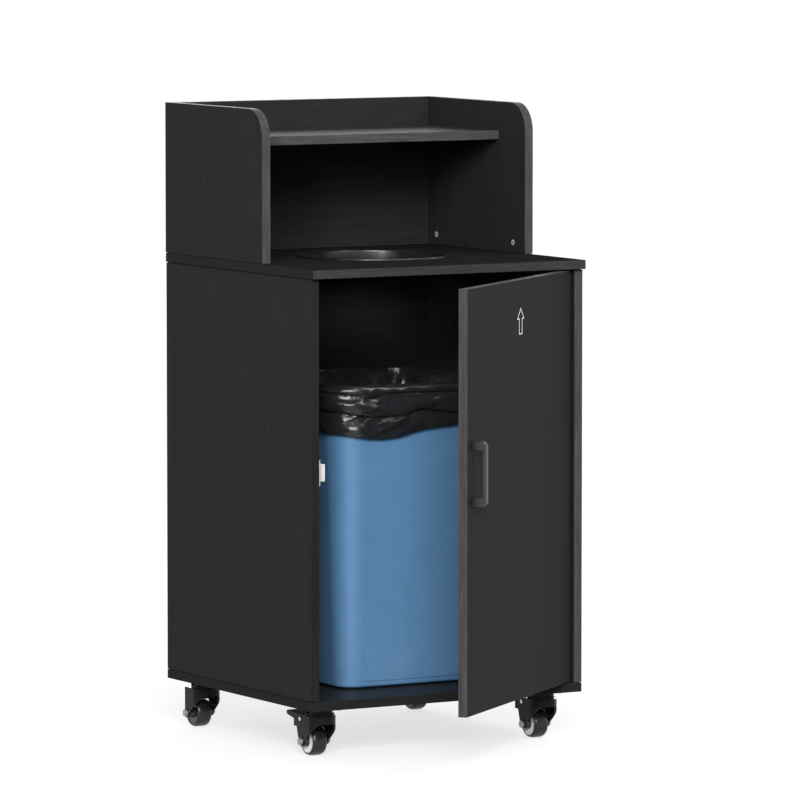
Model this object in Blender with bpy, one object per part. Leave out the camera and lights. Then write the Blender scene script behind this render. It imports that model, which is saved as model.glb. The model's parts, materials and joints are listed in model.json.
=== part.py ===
"""Waste bin cabinet on casters: board carcass, hinged door, drop ring, upper shelf unit and a lined bin.

Metres, +Z up. The origin lies on the floor, in the middle of the footprint that the cabinet and its
open door cover together. The cabinet faces -Y. The door stands part open, as it is stored.
"""

import math

import bmesh
import bpy
from mathutils import Matrix, Vector

# Carcass boards
BOARD = 0.016
CARCASS_WIDTH = 0.544
CARCASS_DEPTH = 0.528
SIDE_HEIGHT = 0.7285
BANDING_ROUND = 0.0008
SEAT = 0.0003

# Counter and drop ring
COUNTER_NOSE = 0.009
COUNTER_LIP = 0.001
RING_DIAMETER = 0.273
RING_FLANGE = 0.0125
RING_RISE = 0.004
RING_WALL = 0.003
RING_SKIRT = 0.004
RING_SETBACK = 0.257
RING_EDGE = 0.0015

# Upper shelf unit
HUTCH_HEIGHT = 0.267
HUTCH_SETBACK = 0.171
HUTCH_ROUND = 0.050
SHELF_CLEARANCE = 0.200
SHELF_SETBACK = 0.090

# Door and handle
DOOR_GAP = 0.0025
DOOR_REST_ANGLE = math.radians(38.5)
HANDLE_PITCH = 0.096
HANDLE_POST = 0.0155
HANDLE_REACH = 0.025
HANDLE_BAR = 0.006
HANDLE_WIDTH = 0.011
HANDLE_CHAMFER = 0.006
HANDLE_INSET = 0.028
HANDLE_HEIGHT = 0.411
SCREW_RADIUS = 0.002
SCREW_BITE = 0.010
SCREW_HEAD_RADIUS = 0.0042
SCREW_HEAD = 0.0022
SCREW_CLEARANCE = 0.0003

# Concealed hinges
HINGE_END_DISTANCE = 0.110
CUP_DIAMETER = 0.035
CUP_DEPTH = 0.0115
CUP_WALL = 0.001
CUP_EDGE = 0.0045
CUP_FLANGE = 0.0012
CUP_FLANGE_RIM = 0.002
CUP_EAR_WIDTH = 0.014
CUP_EAR_SPAN = 0.060
CUP_PIN_OFFSET = 0.009
CUP_PIN_SINK = 0.006
CUP_PIN_RADIUS = 0.0016
LINK_ARM_OFFSET = 0.014
LINK_ARM_STANDOFF = 0.020
LINK_KNEE_OFFSET = 0.006
LINK_KNEE_RISE = 0.0015
LINK_THICKNESS = 0.003
LINK_WIDTH = 0.012
LINK_EYE = 0.0018
LINK_TURN_SHARE = -0.2
ARM_PIN_RADIUS = 0.0019
ARM_CHEEK = 0.002
ARM_EYE = 0.0030
ARM_DEPTH = 0.012
ARM_LENGTH = 0.048
ARM_SLOT_MARGIN = 0.006
PLATE_THICKNESS = 0.003
PLATE_HEIGHT = 0.050
PLATE_MARGIN = 0.004
PIN_CLEARANCE = 0.0002

# Magnetic catch
CATCH_HEIGHT = 0.394
CATCH_FOOT_SPAN = 0.045
CATCH_BODY_SPAN = 0.030
CATCH_FOOT = 0.0125
CATCH_REACH = 0.0215
CATCH_DEPTH = 0.016
MAGNET_SPAN = 0.020
MAGNET_WIDTH = 0.009
MAGNET_DEPTH = 0.006
MAGNET_PROUD = 0.0008
STRIKE_SPAN = 0.036
STRIKE_WIDTH = 0.010
STRIKE_THICKNESS = 0.001
STRIKE_GAP = 0.0005

# Casters
CASTER_HEIGHT = 0.087
CASTER_INSET_SIDE = 0.0485
CASTER_INSET_END = 0.0532
CASTER_TRAIL = 0.0255
WHEEL_RADIUS = 0.0255
WHEEL_WIDTH = 0.028
WHEEL_CROWN = 0.005
TYRE_DEPTH = 0.008
HUB_BOSS_RADIUS = 0.009
HUB_BOSS = 0.0076
HUB_CONE = 0.0025
HUB_DISH = 0.001
AXLE_RADIUS = 0.004
AXLE_HEAD_RADIUS = 0.0072
AXLE_HEAD = 0.0045
FORK_PLATE = 0.003
FORK_CLEARANCE = 0.0008
FORK_RACE = 0.0114
FORK_RACE_RADIUS = 0.0205
FORK_RACE_RIM = 0.003
FORK_RACE_RIM_LOW = 0.002
FORK_RACE_RIM_HIGH = 0.004
FORK_BAND = 0.0136
FORK_WEB_BACK = FORK_RACE_RADIUS
FORK_LEG_REACH = 0.0055
FORK_BRAKE_REACH = 0.0165
FORK_LEG_END = 0.0085
FORK_LEG_TAPER = 0.012
FORK_BRAKE_TAPER = 0.028
FORK_SWEEP_START = -0.019
FORK_SWEEP_KNEE = (0.004, 0.034)
TOP_PLATE = 0.0025
TOP_PLATE_SIDE = 0.060
TOP_PLATE_ROUND = 0.008
KINGPIN_RADIUS = 0.005
KINGPIN_HEAD_RADIUS = 0.0085
KINGPIN_HEAD = 0.003
RUNNING_GAP = 0.0003

# Brake pedals on the front casters
PEDAL_PIVOT_BACK = 0.0275
PEDAL_PIVOT_RISE = 0.0395
PEDAL_PIN_RADIUS = 0.0022
PEDAL_PIN_HEAD_RADIUS = 0.0038
PEDAL_PIN_HEAD = 0.0015
PEDAL_TOE = 0.084
PEDAL_TOE_RISE = 0.0095
PEDAL_THICKNESS = 0.008
PEDAL_BOSS = 0.006
PEDAL_SHOE_START = 0.048
PEDAL_SHOE_END = 0.058
PEDAL_SHOE_DROP = 0.0015
PEDAL_SIDE_GAP = 0.0008
PEDAL_BOSS_ARC = (100, 250)
PEDAL_TOE_ARC = (-70, 90)

# Bin and liner
BIN_SIDE_SPACE = 0.111
BIN_FRONT_SPACE = 0.113
BIN_BACK_SPACE = 0.103
BIN_SPREAD = 0.019
BIN_HEIGHT = 0.529
BIN_WALL = 0.0025
BIN_CORNER = 0.036
BIN_LIP = 0.008
BIN_LIP_HEIGHT = 0.007
LINER_FILM = 0.0008
LINER_GAP = 0.0005
LINER_SKIRT = 0.085
LINER_FLARE = 0.003

# Fineness of round shapes
WHEEL_FACETS = 32
RING_FACETS = 64
HEAD_FACETS = 32
PIN_FACETS = 12
CUP_FACETS = 32
CORNER_STEPS = 6
MERGE_DISTANCE = 1e-7
SMOOTH_ANGLE = math.radians(35)

# Finishes: colour, roughness, metallic
FINISHES = {
    "black_board": ((0.030, 0.028, 0.028, 1.0), 0.45, 0.0),
    "ring_plastic": ((0.012, 0.012, 0.013, 1.0), 0.25, 0.0),
    "handle_metal": ((0.010, 0.010, 0.011, 1.0), 0.35, 0.0),
    "catch_plastic": ((0.82, 0.82, 0.80, 1.0), 0.45, 0.0),
    "hinge_steel": ((0.62, 0.61, 0.59, 1.0), 0.28, 1.0),
    "zinc_steel": ((0.55, 0.55, 0.54, 1.0), 0.35, 1.0),
    "caster_black": ((0.010, 0.010, 0.010, 1.0), 0.22, 0.0),
    "tyre_black": ((0.018, 0.018, 0.018, 1.0), 0.40, 0.0),
    "hub_white": ((0.80, 0.80, 0.79, 1.0), 0.35, 0.0),
    "bin_blue": ((0.105, 0.223, 0.392, 1.0), 0.45, 0.0),
    "liner_film": ((0.012, 0.012, 0.013, 1.0), 0.18, 0.0),
}

# Heights above the floor
BOTTOM_LOW = CASTER_HEIGHT
BOTTOM_TOP = BOTTOM_LOW + BOARD
SIDE_LOW = BOTTOM_TOP + SEAT
SIDE_TOP = SIDE_LOW + SIDE_HEIGHT
COUNTER_LOW = SIDE_TOP + SEAT
COUNTER_TOP = COUNTER_LOW + BOARD
HUTCH_LOW = COUNTER_TOP + SEAT
HUTCH_TOP = HUTCH_LOW + HUTCH_HEIGHT
SHELF_LOW = COUNTER_TOP + SHELF_CLEARANCE
DOOR_LOW = BOTTOM_TOP + DOOR_GAP
DOOR_HIGH = COUNTER_LOW - DOOR_GAP

# Half widths from the middle plane
OUTER_X = CARCASS_WIDTH / 2
INNER_X = OUTER_X - BOARD
COUNTER_X = OUTER_X + COUNTER_LIP
DOOR_X = INNER_X - DOOR_GAP

# Foot of the bin, in the space that the carcass leaves it
BIN_FOOT_WIDTH = 2 * (INNER_X - BIN_SIDE_SPACE)
BIN_FOOT_DEPTH = CARCASS_DEPTH - BOARD - BIN_FRONT_SPACE - BIN_BACK_SPACE

# Hinge pins, as distances in from the closed door's hinge edge and back from its face
CUP_CENTRE_IN = CUP_EDGE + CUP_DIAMETER / 2
CUP_PIN_IN = CUP_CENTRE_IN - CUP_PIN_OFFSET
CUP_PIN_BACK = BOARD - CUP_PIN_SINK
ARM_PIN_IN = CUP_CENTRE_IN + LINK_ARM_OFFSET
ARM_PIN_BACK = BOARD + LINK_ARM_STANDOFF
KNEE_IN = ARM_PIN_IN - LINK_KNEE_OFFSET
KNEE_BACK = CUP_PIN_BACK + LINK_KNEE_RISE

LINK_REST_ANGLE = LINK_TURN_SHARE * DOOR_REST_ANGLE
DOOR_ON_LINK_ANGLE = DOOR_REST_ANGLE - LINK_REST_ANGLE


def turn(point, angle):
    """Turn a plan point about the origin."""
    return Matrix.Rotation(angle, 2) @ Vector(point)


def front_reach():
    """How far the open door or its handle stands out from the carcass front, at rest."""
    arm_pin = Vector((DOOR_X - ARM_PIN_IN, ARM_PIN_BACK))
    cup_pin = Vector((DOOR_X - CUP_PIN_IN, CUP_PIN_BACK))
    moved_pin = arm_pin + turn(cup_pin - arm_pin, LINK_REST_ANGLE)
    handle_x = HANDLE_INSET - HANDLE_WIDTH / 2 - DOOR_X
    corners = (
        Vector((-DOOR_X, 0)),
        Vector((handle_x, -SEAT - HANDLE_REACH)),
        Vector((handle_x + HANDLE_WIDTH, -SEAT - HANDLE_REACH)),
    )
    reaches = [-(moved_pin + turn(corner - cup_pin, DOOR_REST_ANGLE)).y for corner in corners]
    return max(reaches)


FRONT_Y = (front_reach() - CARCASS_DEPTH) / 2
BACK_Y = FRONT_Y + CARCASS_DEPTH
BACK_BOARD_Y = BACK_Y - BOARD
CUP_PIN_XY = Vector((DOOR_X - CUP_PIN_IN, FRONT_Y + CUP_PIN_BACK))
ARM_PIN_XY = Vector((DOOR_X - ARM_PIN_IN, FRONT_Y + ARM_PIN_BACK))
HINGE_HEIGHTS = {"lower": DOOR_LOW + HINGE_END_DISTANCE, "upper": DOOR_HIGH - HINGE_END_DISTANCE}


def clear_scene():
    """Start from an empty scene."""
    for obj in list(bpy.data.objects):
        bpy.data.objects.remove(obj, do_unlink=True)


def make_material(name):
    """One Principled material for a finish."""
    colour, roughness, metallic = FINISHES[name]
    material = bpy.data.materials.new(name)
    material.use_nodes = True
    shader = material.node_tree.nodes["Principled BSDF"]
    shader.inputs["Base Color"].default_value = colour
    shader.inputs["Roughness"].default_value = roughness
    shader.inputs["Metallic"].default_value = metallic
    return material


def add_empty(name, location, angle=0.0, parent=None):
    """A pivot that moving pieces hang from."""
    empty = bpy.data.objects.new(name, None)
    bpy.context.scene.collection.objects.link(empty)
    empty.location = location
    empty.rotation_euler.z = angle
    empty.parent = parent
    return empty


def add_object(name, shape, finish, location=(0, 0, 0), parent=None):
    """Turn a finished bmesh into a named object with its own material."""
    bmesh.ops.recalc_face_normals(shape, faces=shape.faces)
    mesh = bpy.data.meshes.new(name)
    shape.to_mesh(mesh)
    shape.free()
    mesh.shade_smooth()
    mesh.set_sharp_from_angle(angle=SMOOTH_ANGLE)
    if finish:
        mesh.materials.append(MATERIALS[finish])
    obj = bpy.data.objects.new(name, mesh)
    bpy.context.scene.collection.objects.link(obj)
    obj.location = location
    obj.parent = parent
    return obj


def combine(target, shape, operation):
    """Cut a shape from a piece, or join it on, with a hidden tool object."""
    tool = add_object(f"{target.name}_tool", shape, None, target.location, target.parent)
    tool.display_type = "WIRE"
    tool.hide_render = True
    modifier = target.modifiers.new(operation.lower(), "BOOLEAN")
    modifier.object = tool
    modifier.operation = operation
    modifier.solver = "EXACT"


def soften(obj, width):
    """Round a board's long edges a little."""
    modifier = obj.modifiers.new("edges", "BEVEL")
    modifier.width = width
    modifier.segments = 1
    modifier.limit_method = "ANGLE"


def block(low, high):
    """A box between two corners."""
    shape = bmesh.new()
    bmesh.ops.create_cube(shape, size=1.0)
    size = Vector(high) - Vector(low)
    centre = (Vector(high) + Vector(low)) / 2
    bmesh.ops.scale(shape, vec=size, verts=shape.verts)
    bmesh.ops.translate(shape, vec=centre, verts=shape.verts)
    return shape


def extruded(outline, low, high, place):
    """Extrude a flat outline; place turns (a, b, height) into a point."""
    shape = bmesh.new()
    face = shape.faces.new([shape.verts.new(place(a, b, low)) for a, b in outline])
    grown = bmesh.ops.extrude_face_region(shape, geom=[face])
    far_side = [item for item in grown["geom"] if isinstance(item, bmesh.types.BMVert)]
    step = Vector(place(0, 0, high)) - Vector(place(0, 0, low))
    bmesh.ops.translate(shape, vec=step, verts=far_side)
    return shape


def upright(a, b, height):
    """Outline in plan, extruded along Z."""
    return (a, b, height)


def sideways(a, b, height):
    """Outline in the Y-Z plane, extruded along X."""
    return (height, a, b)


def frontways(a, b, height):
    """Outline in the X-Z plane, extruded along Y."""
    return (a, height, b)


def arc(centre, radius, start, end, steps):
    """Points on an arc, angles in degrees."""
    points = []
    for step in range(steps + 1):
        angle = math.radians(start + (end - start) * step / steps)
        points.append((centre[0] + radius * math.cos(angle), centre[1] + radius * math.sin(angle)))
    return points


def rounded_rectangle(width, depth, radius, steps=CORNER_STEPS):
    """Outline of a rectangle with round corners, about the origin."""
    x = width / 2 - radius
    y = depth / 2 - radius
    points = []
    for centre, start in (((x, y), 0), ((-x, y), 90), ((-x, -y), 180), ((x, -y), 270)):
        points += arc(centre, radius, start, start + 90, steps)
    return points


def turned(profile, facets, axis="Z", phase=0.0):
    """Spin a profile of (radius, height) points about an axis; one that starts on the axis is open."""
    shape = bmesh.new()
    verts = [shape.verts.new((radius, 0, height)) for radius, height in profile]
    pairs = list(zip(verts[:-1], verts[1:]))
    if profile[0][0] > 0:
        pairs.append((verts[-1], verts[0]))
    edges = [shape.edges.new(pair) for pair in pairs]
    bmesh.ops.rotate(shape, cent=(0, 0, 0), matrix=Matrix.Rotation(phase, 3, "Z"), verts=verts)
    bmesh.ops.spin(
        shape, geom=edges, cent=(0, 0, 0), axis=(0, 0, 1), angle=math.tau, steps=facets, use_merge=True
    )
    bmesh.ops.remove_doubles(shape, verts=shape.verts, dist=MERGE_DISTANCE)
    if axis == "X":
        tip = Matrix.Rotation(math.pi / 2, 3, "Y")
        bmesh.ops.rotate(shape, cent=(0, 0, 0), matrix=tip, verts=shape.verts)
    if axis == "Y":
        tip = Matrix.Rotation(-math.pi / 2, 3, "X")
        bmesh.ops.rotate(shape, cent=(0, 0, 0), matrix=tip, verts=shape.verts)
    return shape


def rod(radius, low, high, axis="Z", facets=PIN_FACETS):
    """A plain round bar along an axis."""
    return turned([(0, high), (radius, high), (radius, low), (0, low)], facets, axis)


def moved(shape, offset):
    """Shift a shape."""
    bmesh.ops.translate(shape, vec=Vector(offset), verts=shape.verts)
    return shape


def lofted(sections):
    """Skin a chain of closed loops, given as (outline, height), and close both ends."""
    shape = bmesh.new()
    loops = [[shape.verts.new((x, y, z)) for x, y in outline] for outline, z in sections]
    for lower, upper in zip(loops[:-1], loops[1:]):
        count = len(lower)
        for index in range(count):
            after = (index + 1) % count
            shape.faces.new((lower[index], lower[after], upper[after], upper[index]))
    shape.faces.new(loops[0])
    shape.faces.new(loops[-1])
    return shape


def board(name, low, high):
    """A straight panel with softened edges."""
    obj = add_object(name, block(low, high), "black_board")
    soften(obj, BANDING_ROUND)
    return obj


def build_carcass():
    """Bottom, sides, back and the counter with its drop hole."""
    board("bottom_panel", (-OUTER_X, FRONT_Y, BOTTOM_LOW), (OUTER_X, BACK_Y, BOTTOM_TOP))
    board("left_side_panel", (-OUTER_X, FRONT_Y, SIDE_LOW), (-INNER_X, BACK_Y, SIDE_TOP))
    board("right_side_panel", (INNER_X, FRONT_Y, SIDE_LOW), (OUTER_X, BACK_Y, SIDE_TOP))
    board("back_panel", (SEAT - INNER_X, BACK_BOARD_Y, SIDE_LOW), (INNER_X - SEAT, BACK_Y, SIDE_TOP))
    counter = board(
        "countertop", (-COUNTER_X, FRONT_Y - COUNTER_NOSE, COUNTER_LOW), (COUNTER_X, BACK_Y, COUNTER_TOP)
    )
    hole = RING_DIAMETER / 2 - RING_FLANGE
    through = rod(hole, COUNTER_LOW - BOARD, COUNTER_TOP + BOARD, facets=RING_FACETS)
    combine(counter, moved(through, (0, FRONT_Y + RING_SETBACK, 0)), "DIFFERENCE")


def build_drop_ring():
    """Flanged sleeve that lines the counter's hole."""
    outer = RING_DIAMETER / 2
    sleeve = outer - RING_FLANGE - SEAT
    bore = sleeve - RING_WALL
    low = -BOARD - RING_SKIRT
    profile = [
        (bore + RING_EDGE, SEAT + RING_RISE),
        (outer - RING_EDGE, SEAT + RING_RISE),
        (outer, SEAT + RING_RISE - RING_EDGE),
        (outer, SEAT),
        (sleeve, SEAT),
        (sleeve, low),
        (bore, low),
        (bore, SEAT + RING_RISE - RING_EDGE),
    ]
    centre = (0, FRONT_Y + RING_SETBACK, COUNTER_TOP)
    add_object("drop_ring", turned(profile, RING_FACETS), "ring_plastic", centre)


def build_hutch():
    """Upper shelf unit that stands on the counter."""
    front = FRONT_Y + HUTCH_SETBACK
    outline = [(BACK_Y, HUTCH_LOW), (BACK_Y, HUTCH_TOP)]
    outline += arc((front + HUTCH_ROUND, HUTCH_TOP - HUTCH_ROUND), HUTCH_ROUND, 90, 180, 2 * CORNER_STEPS)
    outline += [(front, HUTCH_LOW)]
    inner = COUNTER_X - BOARD
    for name, low, high in (("left", -COUNTER_X, -inner), ("right", inner, COUNTER_X)):
        side = add_object(f"hutch_{name}_panel", extruded(outline, low, high, sideways), "black_board")
        soften(side, BANDING_ROUND)
    board("hutch_back_panel", (SEAT - inner, BACK_BOARD_Y, HUTCH_LOW), (inner - SEAT, BACK_Y, HUTCH_TOP))
    board(
        "hutch_shelf",
        (SEAT - inner, front + SHELF_SETBACK, SHELF_LOW),
        (inner - SEAT, BACK_BOARD_Y - SEAT, SHELF_LOW + BOARD),
    )


def build_catch():
    """Magnetic catch on the left side panel, just behind the closed door."""
    face = FRONT_Y + BOARD + SEAT + STRIKE_THICKNESS + STRIKE_GAP + MAGNET_PROUD
    wall = SEAT - INNER_X
    height = BOTTOM_TOP + CATCH_HEIGHT
    half_foot = CATCH_FOOT_SPAN / 2
    half_body = CATCH_BODY_SPAN / 2
    outline = [
        (wall, height - half_foot),
        (wall + CATCH_FOOT, height - half_foot),
        (wall + CATCH_FOOT, height - half_body),
        (wall + CATCH_REACH, height - half_body),
        (wall + CATCH_REACH, height + half_body),
        (wall + CATCH_FOOT, height + half_body),
        (wall + CATCH_FOOT, height + half_foot),
        (wall, height + half_foot),
    ]
    housing = add_object(
        "magnetic_catch", extruded(outline, face, face + CATCH_DEPTH, frontways), "catch_plastic"
    )
    middle = wall + CATCH_REACH / 2
    low = Vector((middle - MAGNET_WIDTH / 2, face - MAGNET_PROUD, height - MAGNET_SPAN / 2))
    high = Vector((middle + MAGNET_WIDTH / 2, face - MAGNET_PROUD + MAGNET_DEPTH, height + MAGNET_SPAN / 2))
    play = Vector((SEAT, SEAT, SEAT))
    combine(housing, block(low - play, high + play), "DIFFERENCE")
    add_object("catch_magnet", block(low, high), "zinc_steel")


def build_door_pivots():
    """The two pin lines of the hinges: link on arm, and door on link."""
    link = add_empty("link_pivot", (*ARM_PIN_XY, 0), LINK_REST_ANGLE)
    step = CUP_PIN_XY - ARM_PIN_XY
    door = add_empty("door_pivot", (*step, 0), DOOR_ON_LINK_ANGLE, link)
    return link, door


def from_cup_pin(inward, back, height=0.0):
    """A point on the closed door, measured from the cup pin line."""
    return Vector((CUP_PIN_IN - inward, back - CUP_PIN_BACK, height))


def build_door(pivot):
    """Door panel with its cup recesses and screw holes."""
    width = 2 * DOOR_X
    low = from_cup_pin(width, 0, DOOR_LOW)
    high = from_cup_pin(0, BOARD, DOOR_HIGH)
    door = add_object("door_panel", block(low, high), "black_board", parent=pivot)
    soften(door, BANDING_ROUND)
    recess = CUP_DEPTH + SEAT
    for height in HINGE_HEIGHTS.values():
        drill = rod(CUP_DIAMETER / 2 + SEAT, BOARD - recess, 2 * BOARD, "Y", CUP_FACETS)
        combine(door, moved(drill, from_cup_pin(CUP_CENTRE_IN, 0, height)), "DIFFERENCE")
    for height in handle_screw_heights():
        drill = rod(SCREW_RADIUS + SCREW_CLEARANCE, -BOARD, 2 * BOARD, "Y")
        combine(door, moved(drill, from_cup_pin(width - HANDLE_INSET, 0, height)), "DIFFERENCE")


def handle_screw_heights():
    """Heights of the handle's two screws."""
    middle = DOOR_LOW + HANDLE_HEIGHT
    return (middle - HANDLE_PITCH / 2, middle + HANDLE_PITCH / 2)


def build_handle(pivot):
    """Bow handle and the screws that hold it through the door."""
    middle = DOOR_LOW + HANDLE_HEIGHT
    half = (HANDLE_PITCH + HANDLE_POST) / 2
    inside = half - HANDLE_POST
    tip = HANDLE_REACH
    outline = [
        (0, -half),
        (tip - HANDLE_CHAMFER, -half),
        (tip, HANDLE_CHAMFER - half),
        (tip, half - HANDLE_CHAMFER),
        (tip - HANDLE_CHAMFER, half),
        (0, half),
        (0, inside),
        (tip - HANDLE_BAR, inside),
        (tip - HANDLE_BAR, -inside),
        (0, -inside),
    ]
    inward = 2 * DOOR_X - HANDLE_INSET
    seat = from_cup_pin(inward, -SEAT, middle)
    placed = [(seat.y - reach, seat.z + height) for reach, height in outline]
    bow = extruded(placed, seat.x - HANDLE_WIDTH / 2, seat.x + HANDLE_WIDTH / 2, sideways)
    handle = add_object("door_handle", bow, "handle_metal", parent=pivot)
    bite = SCREW_BITE + SCREW_CLEARANCE
    head_seat = BOARD + SEAT
    for name, height in zip(("lower", "upper"), handle_screw_heights()):
        drill = rod(SCREW_RADIUS + SCREW_CLEARANCE, -SEAT - bite, BOARD, "Y")
        combine(handle, moved(drill, from_cup_pin(inward, 0, height)), "DIFFERENCE")
        profile = [
            (0, head_seat + SCREW_HEAD),
            (SCREW_HEAD_RADIUS, head_seat + SCREW_HEAD),
            (SCREW_HEAD_RADIUS, head_seat),
            (SCREW_RADIUS, head_seat),
            (SCREW_RADIUS, -SEAT - SCREW_BITE),
            (0, -SEAT - SCREW_BITE),
        ]
        screw = moved(turned(profile, PIN_FACETS, "Y"), from_cup_pin(inward, 0, height))
        add_object(f"{name}_handle_screw", screw, "zinc_steel", parent=pivot)


def build_strike(pivot):
    """Steel plate on the door that meets the magnet."""
    centre_in = 2 * DOOR_X + DOOR_GAP - SEAT - CATCH_REACH / 2
    middle = from_cup_pin(centre_in, BOARD + SEAT, BOTTOM_TOP + CATCH_HEIGHT)
    half = Vector((STRIKE_WIDTH / 2, 0, STRIKE_SPAN / 2))
    plate = block(middle - half, middle + half + Vector((0, STRIKE_THICKNESS, 0)))
    add_object("strike_plate", plate, "zinc_steel", parent=pivot)


def build_hinge_cup(name, height, pivot):
    """Cup let into the door, its two ears and the pin across it."""
    outer = CUP_DIAMETER / 2
    low = BOARD - CUP_DEPTH
    seat = BOARD + SEAT
    top = seat + CUP_FLANGE
    rim = outer + CUP_FLANGE_RIM
    profile = [(0, top), (rim, top), (rim, seat), (outer, seat), (outer, low), (0, low)]
    cup = turned(profile, CUP_FACETS, "Y")
    centre = from_cup_pin(CUP_CENTRE_IN, 0, height)
    obj = add_object(f"{name}_hinge_cup", moved(cup, centre), "hinge_steel", parent=pivot)
    half = Vector((CUP_EAR_WIDTH / 2, 0, CUP_EAR_SPAN / 2))
    ears = block(Vector((0, seat, 0)) - half, Vector((0, top, 0)) + half)
    combine(obj, moved(ears, centre), "UNION")
    hollow = rod(outer - CUP_WALL, low + CUP_WALL, top + BOARD, "Y", CUP_FACETS)
    combine(obj, moved(hollow, centre), "DIFFERENCE")
    near = CUP_PIN_OFFSET + CUP_PIN_RADIUS
    half_length = math.sqrt((outer - CUP_WALL) ** 2 - near**2) - PIN_CLEARANCE
    pin = rod(CUP_PIN_RADIUS, height - half_length, height + half_length)
    add_object(f"{name}_cup_pin", pin, "zinc_steel", parent=pivot)


def bar_between(start, end, thickness, low, high):
    """A straight strip between two plan points."""
    along = (end - start).normalized()
    across = Vector((-along.y, along.x)) * (thickness / 2)
    reach = along * (thickness / 2)
    corners = (start - reach - across, end + reach - across, end + reach + across, start - reach + across)
    return extruded([tuple(corner) for corner in corners], low, high, upright)


def build_hinge_link(name, height, pivot):
    """Goose-neck link: an eye on each pin and a bent strip between them."""
    low = height - LINK_WIDTH / 2
    high = height + LINK_WIDTH / 2
    cup_pin = CUP_PIN_XY - ARM_PIN_XY
    knee = Vector((ARM_PIN_IN - KNEE_IN, KNEE_BACK - ARM_PIN_BACK))
    arm_eye = ARM_PIN_RADIUS + PIN_CLEARANCE
    cup_eye = CUP_PIN_RADIUS + PIN_CLEARANCE
    first_eye = rod(arm_eye + LINK_EYE, low, high, facets=HEAD_FACETS)
    link = add_object(f"{name}_hinge_link", first_eye, "hinge_steel", parent=pivot)
    combine(link, bar_between(Vector((0, 0)), knee, LINK_THICKNESS, low, high), "UNION")
    combine(link, bar_between(knee, cup_pin, LINK_THICKNESS, low, high), "UNION")
    eye = rod(cup_eye + LINK_EYE, low, high, facets=HEAD_FACETS)
    combine(link, moved(eye, (*cup_pin, 0)), "UNION")
    for radius, centre in ((arm_eye, Vector((0, 0))), (cup_eye, cup_pin)):
        drill = rod(radius, low - LINK_WIDTH, high + LINK_WIDTH)
        combine(link, moved(drill, (*centre, 0)), "DIFFERENCE")


def build_hinge_arm(name, height):
    """Mounting plate on the side panel, the cranked arm and its pin."""
    wall = INNER_X - SEAT
    plate_face = wall - PLATE_THICKNESS
    arm_back = plate_face - SEAT
    pin = ARM_PIN_XY
    eye = ARM_PIN_RADIUS + PIN_CLEARANCE + ARM_EYE
    start = pin.y + 2 * eye
    end = start + ARM_LENGTH
    plate = block(
        (plate_face, start, height - PLATE_HEIGHT / 2),
        (wall, end + PLATE_MARGIN, height + PLATE_HEIGHT / 2),
    )
    add_object(f"{name}_hinge_plate", plate, "hinge_steel")
    cheek_low = LINK_WIDTH / 2 + RUNNING_GAP
    half = cheek_low + ARM_CHEEK
    lean = math.degrees(math.atan2(start - pin.y, arm_back - ARM_DEPTH / 2 - pin.x))
    outline = arc(pin, eye, lean + 90, lean + 270, CORNER_STEPS)
    arm_front = arm_back - ARM_DEPTH
    outline += [(arm_back, start), (arm_back, end), (arm_front, end), (arm_front, start + eye)]
    body = extruded(outline, height - half, height + half, upright)
    arm = add_object(f"{name}_hinge_arm", body, "hinge_steel")
    margin = eye + ARM_SLOT_MARGIN
    slot = block(
        (pin.x - margin, pin.y - margin, height - cheek_low),
        (pin.x + eye, pin.y + eye, height + cheek_low),
    )
    combine(arm, slot, "DIFFERENCE")
    drill = rod(ARM_PIN_RADIUS + PIN_CLEARANCE, height - 2 * half, height + 2 * half)
    combine(arm, moved(drill, (*pin, 0)), "DIFFERENCE")
    arm_pin = moved(rod(ARM_PIN_RADIUS, height - half, height + half), (*pin, 0))
    add_object(f"{name}_arm_pin", arm_pin, "zinc_steel")


def build_hinges(link_pivot, door_pivot):
    """Upper and lower concealed hinges."""
    for name, height in HINGE_HEIGHTS.items():
        build_hinge_arm(name, height)
        build_hinge_link(name, height, link_pivot)
        build_hinge_cup(name, height, door_pivot)


def build_top_plate(name, centre):
    """Mounting plate under the bottom panel, and the kingpin fixed to it."""
    plate_top = BOTTOM_LOW - SEAT
    plate_low = plate_top - TOP_PLATE
    outline = rounded_rectangle(TOP_PLATE_SIDE, TOP_PLATE_SIDE, TOP_PLATE_ROUND)
    body = extruded(outline, plate_low, plate_top, upright)
    plate = add_object(f"{name}_caster_plate", body, "caster_black", centre)
    hole = rod(KINGPIN_RADIUS + SEAT, plate_low - TOP_PLATE, BOTTOM_TOP, facets=HEAD_FACETS)
    combine(plate, hole, "DIFFERENCE")
    head_top = fork_web_low() - RUNNING_GAP
    profile = [
        (0, plate_top),
        (KINGPIN_RADIUS, plate_top),
        (KINGPIN_RADIUS, head_top),
        (KINGPIN_HEAD_RADIUS, head_top),
        (KINGPIN_HEAD_RADIUS, head_top - KINGPIN_HEAD),
        (0, head_top - KINGPIN_HEAD),
    ]
    add_object(f"{name}_kingpin", turned(profile, HEAD_FACETS), "zinc_steel", centre)


def fork_top():
    """Height of the swivel head's upper face."""
    return BOTTOM_LOW - SEAT - TOP_PLATE - RUNNING_GAP


def fork_web_low():
    """Underside of the fork's web, where the kingpin's head bears."""
    return fork_top() - FORK_RACE - FORK_PLATE


def fork_leg_inner():
    """Distance from the wheel's middle plane to a fork leg."""
    return WHEEL_WIDTH / 2 + HUB_BOSS + FORK_CLEARANCE


def fork_plan(half, back):
    """Plan outline of the fork: a round front that runs into two flat sides."""
    return arc((0, 0), half, 180, 360, 4 * CORNER_STEPS) + [(half, back), (-half, back)]


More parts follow.
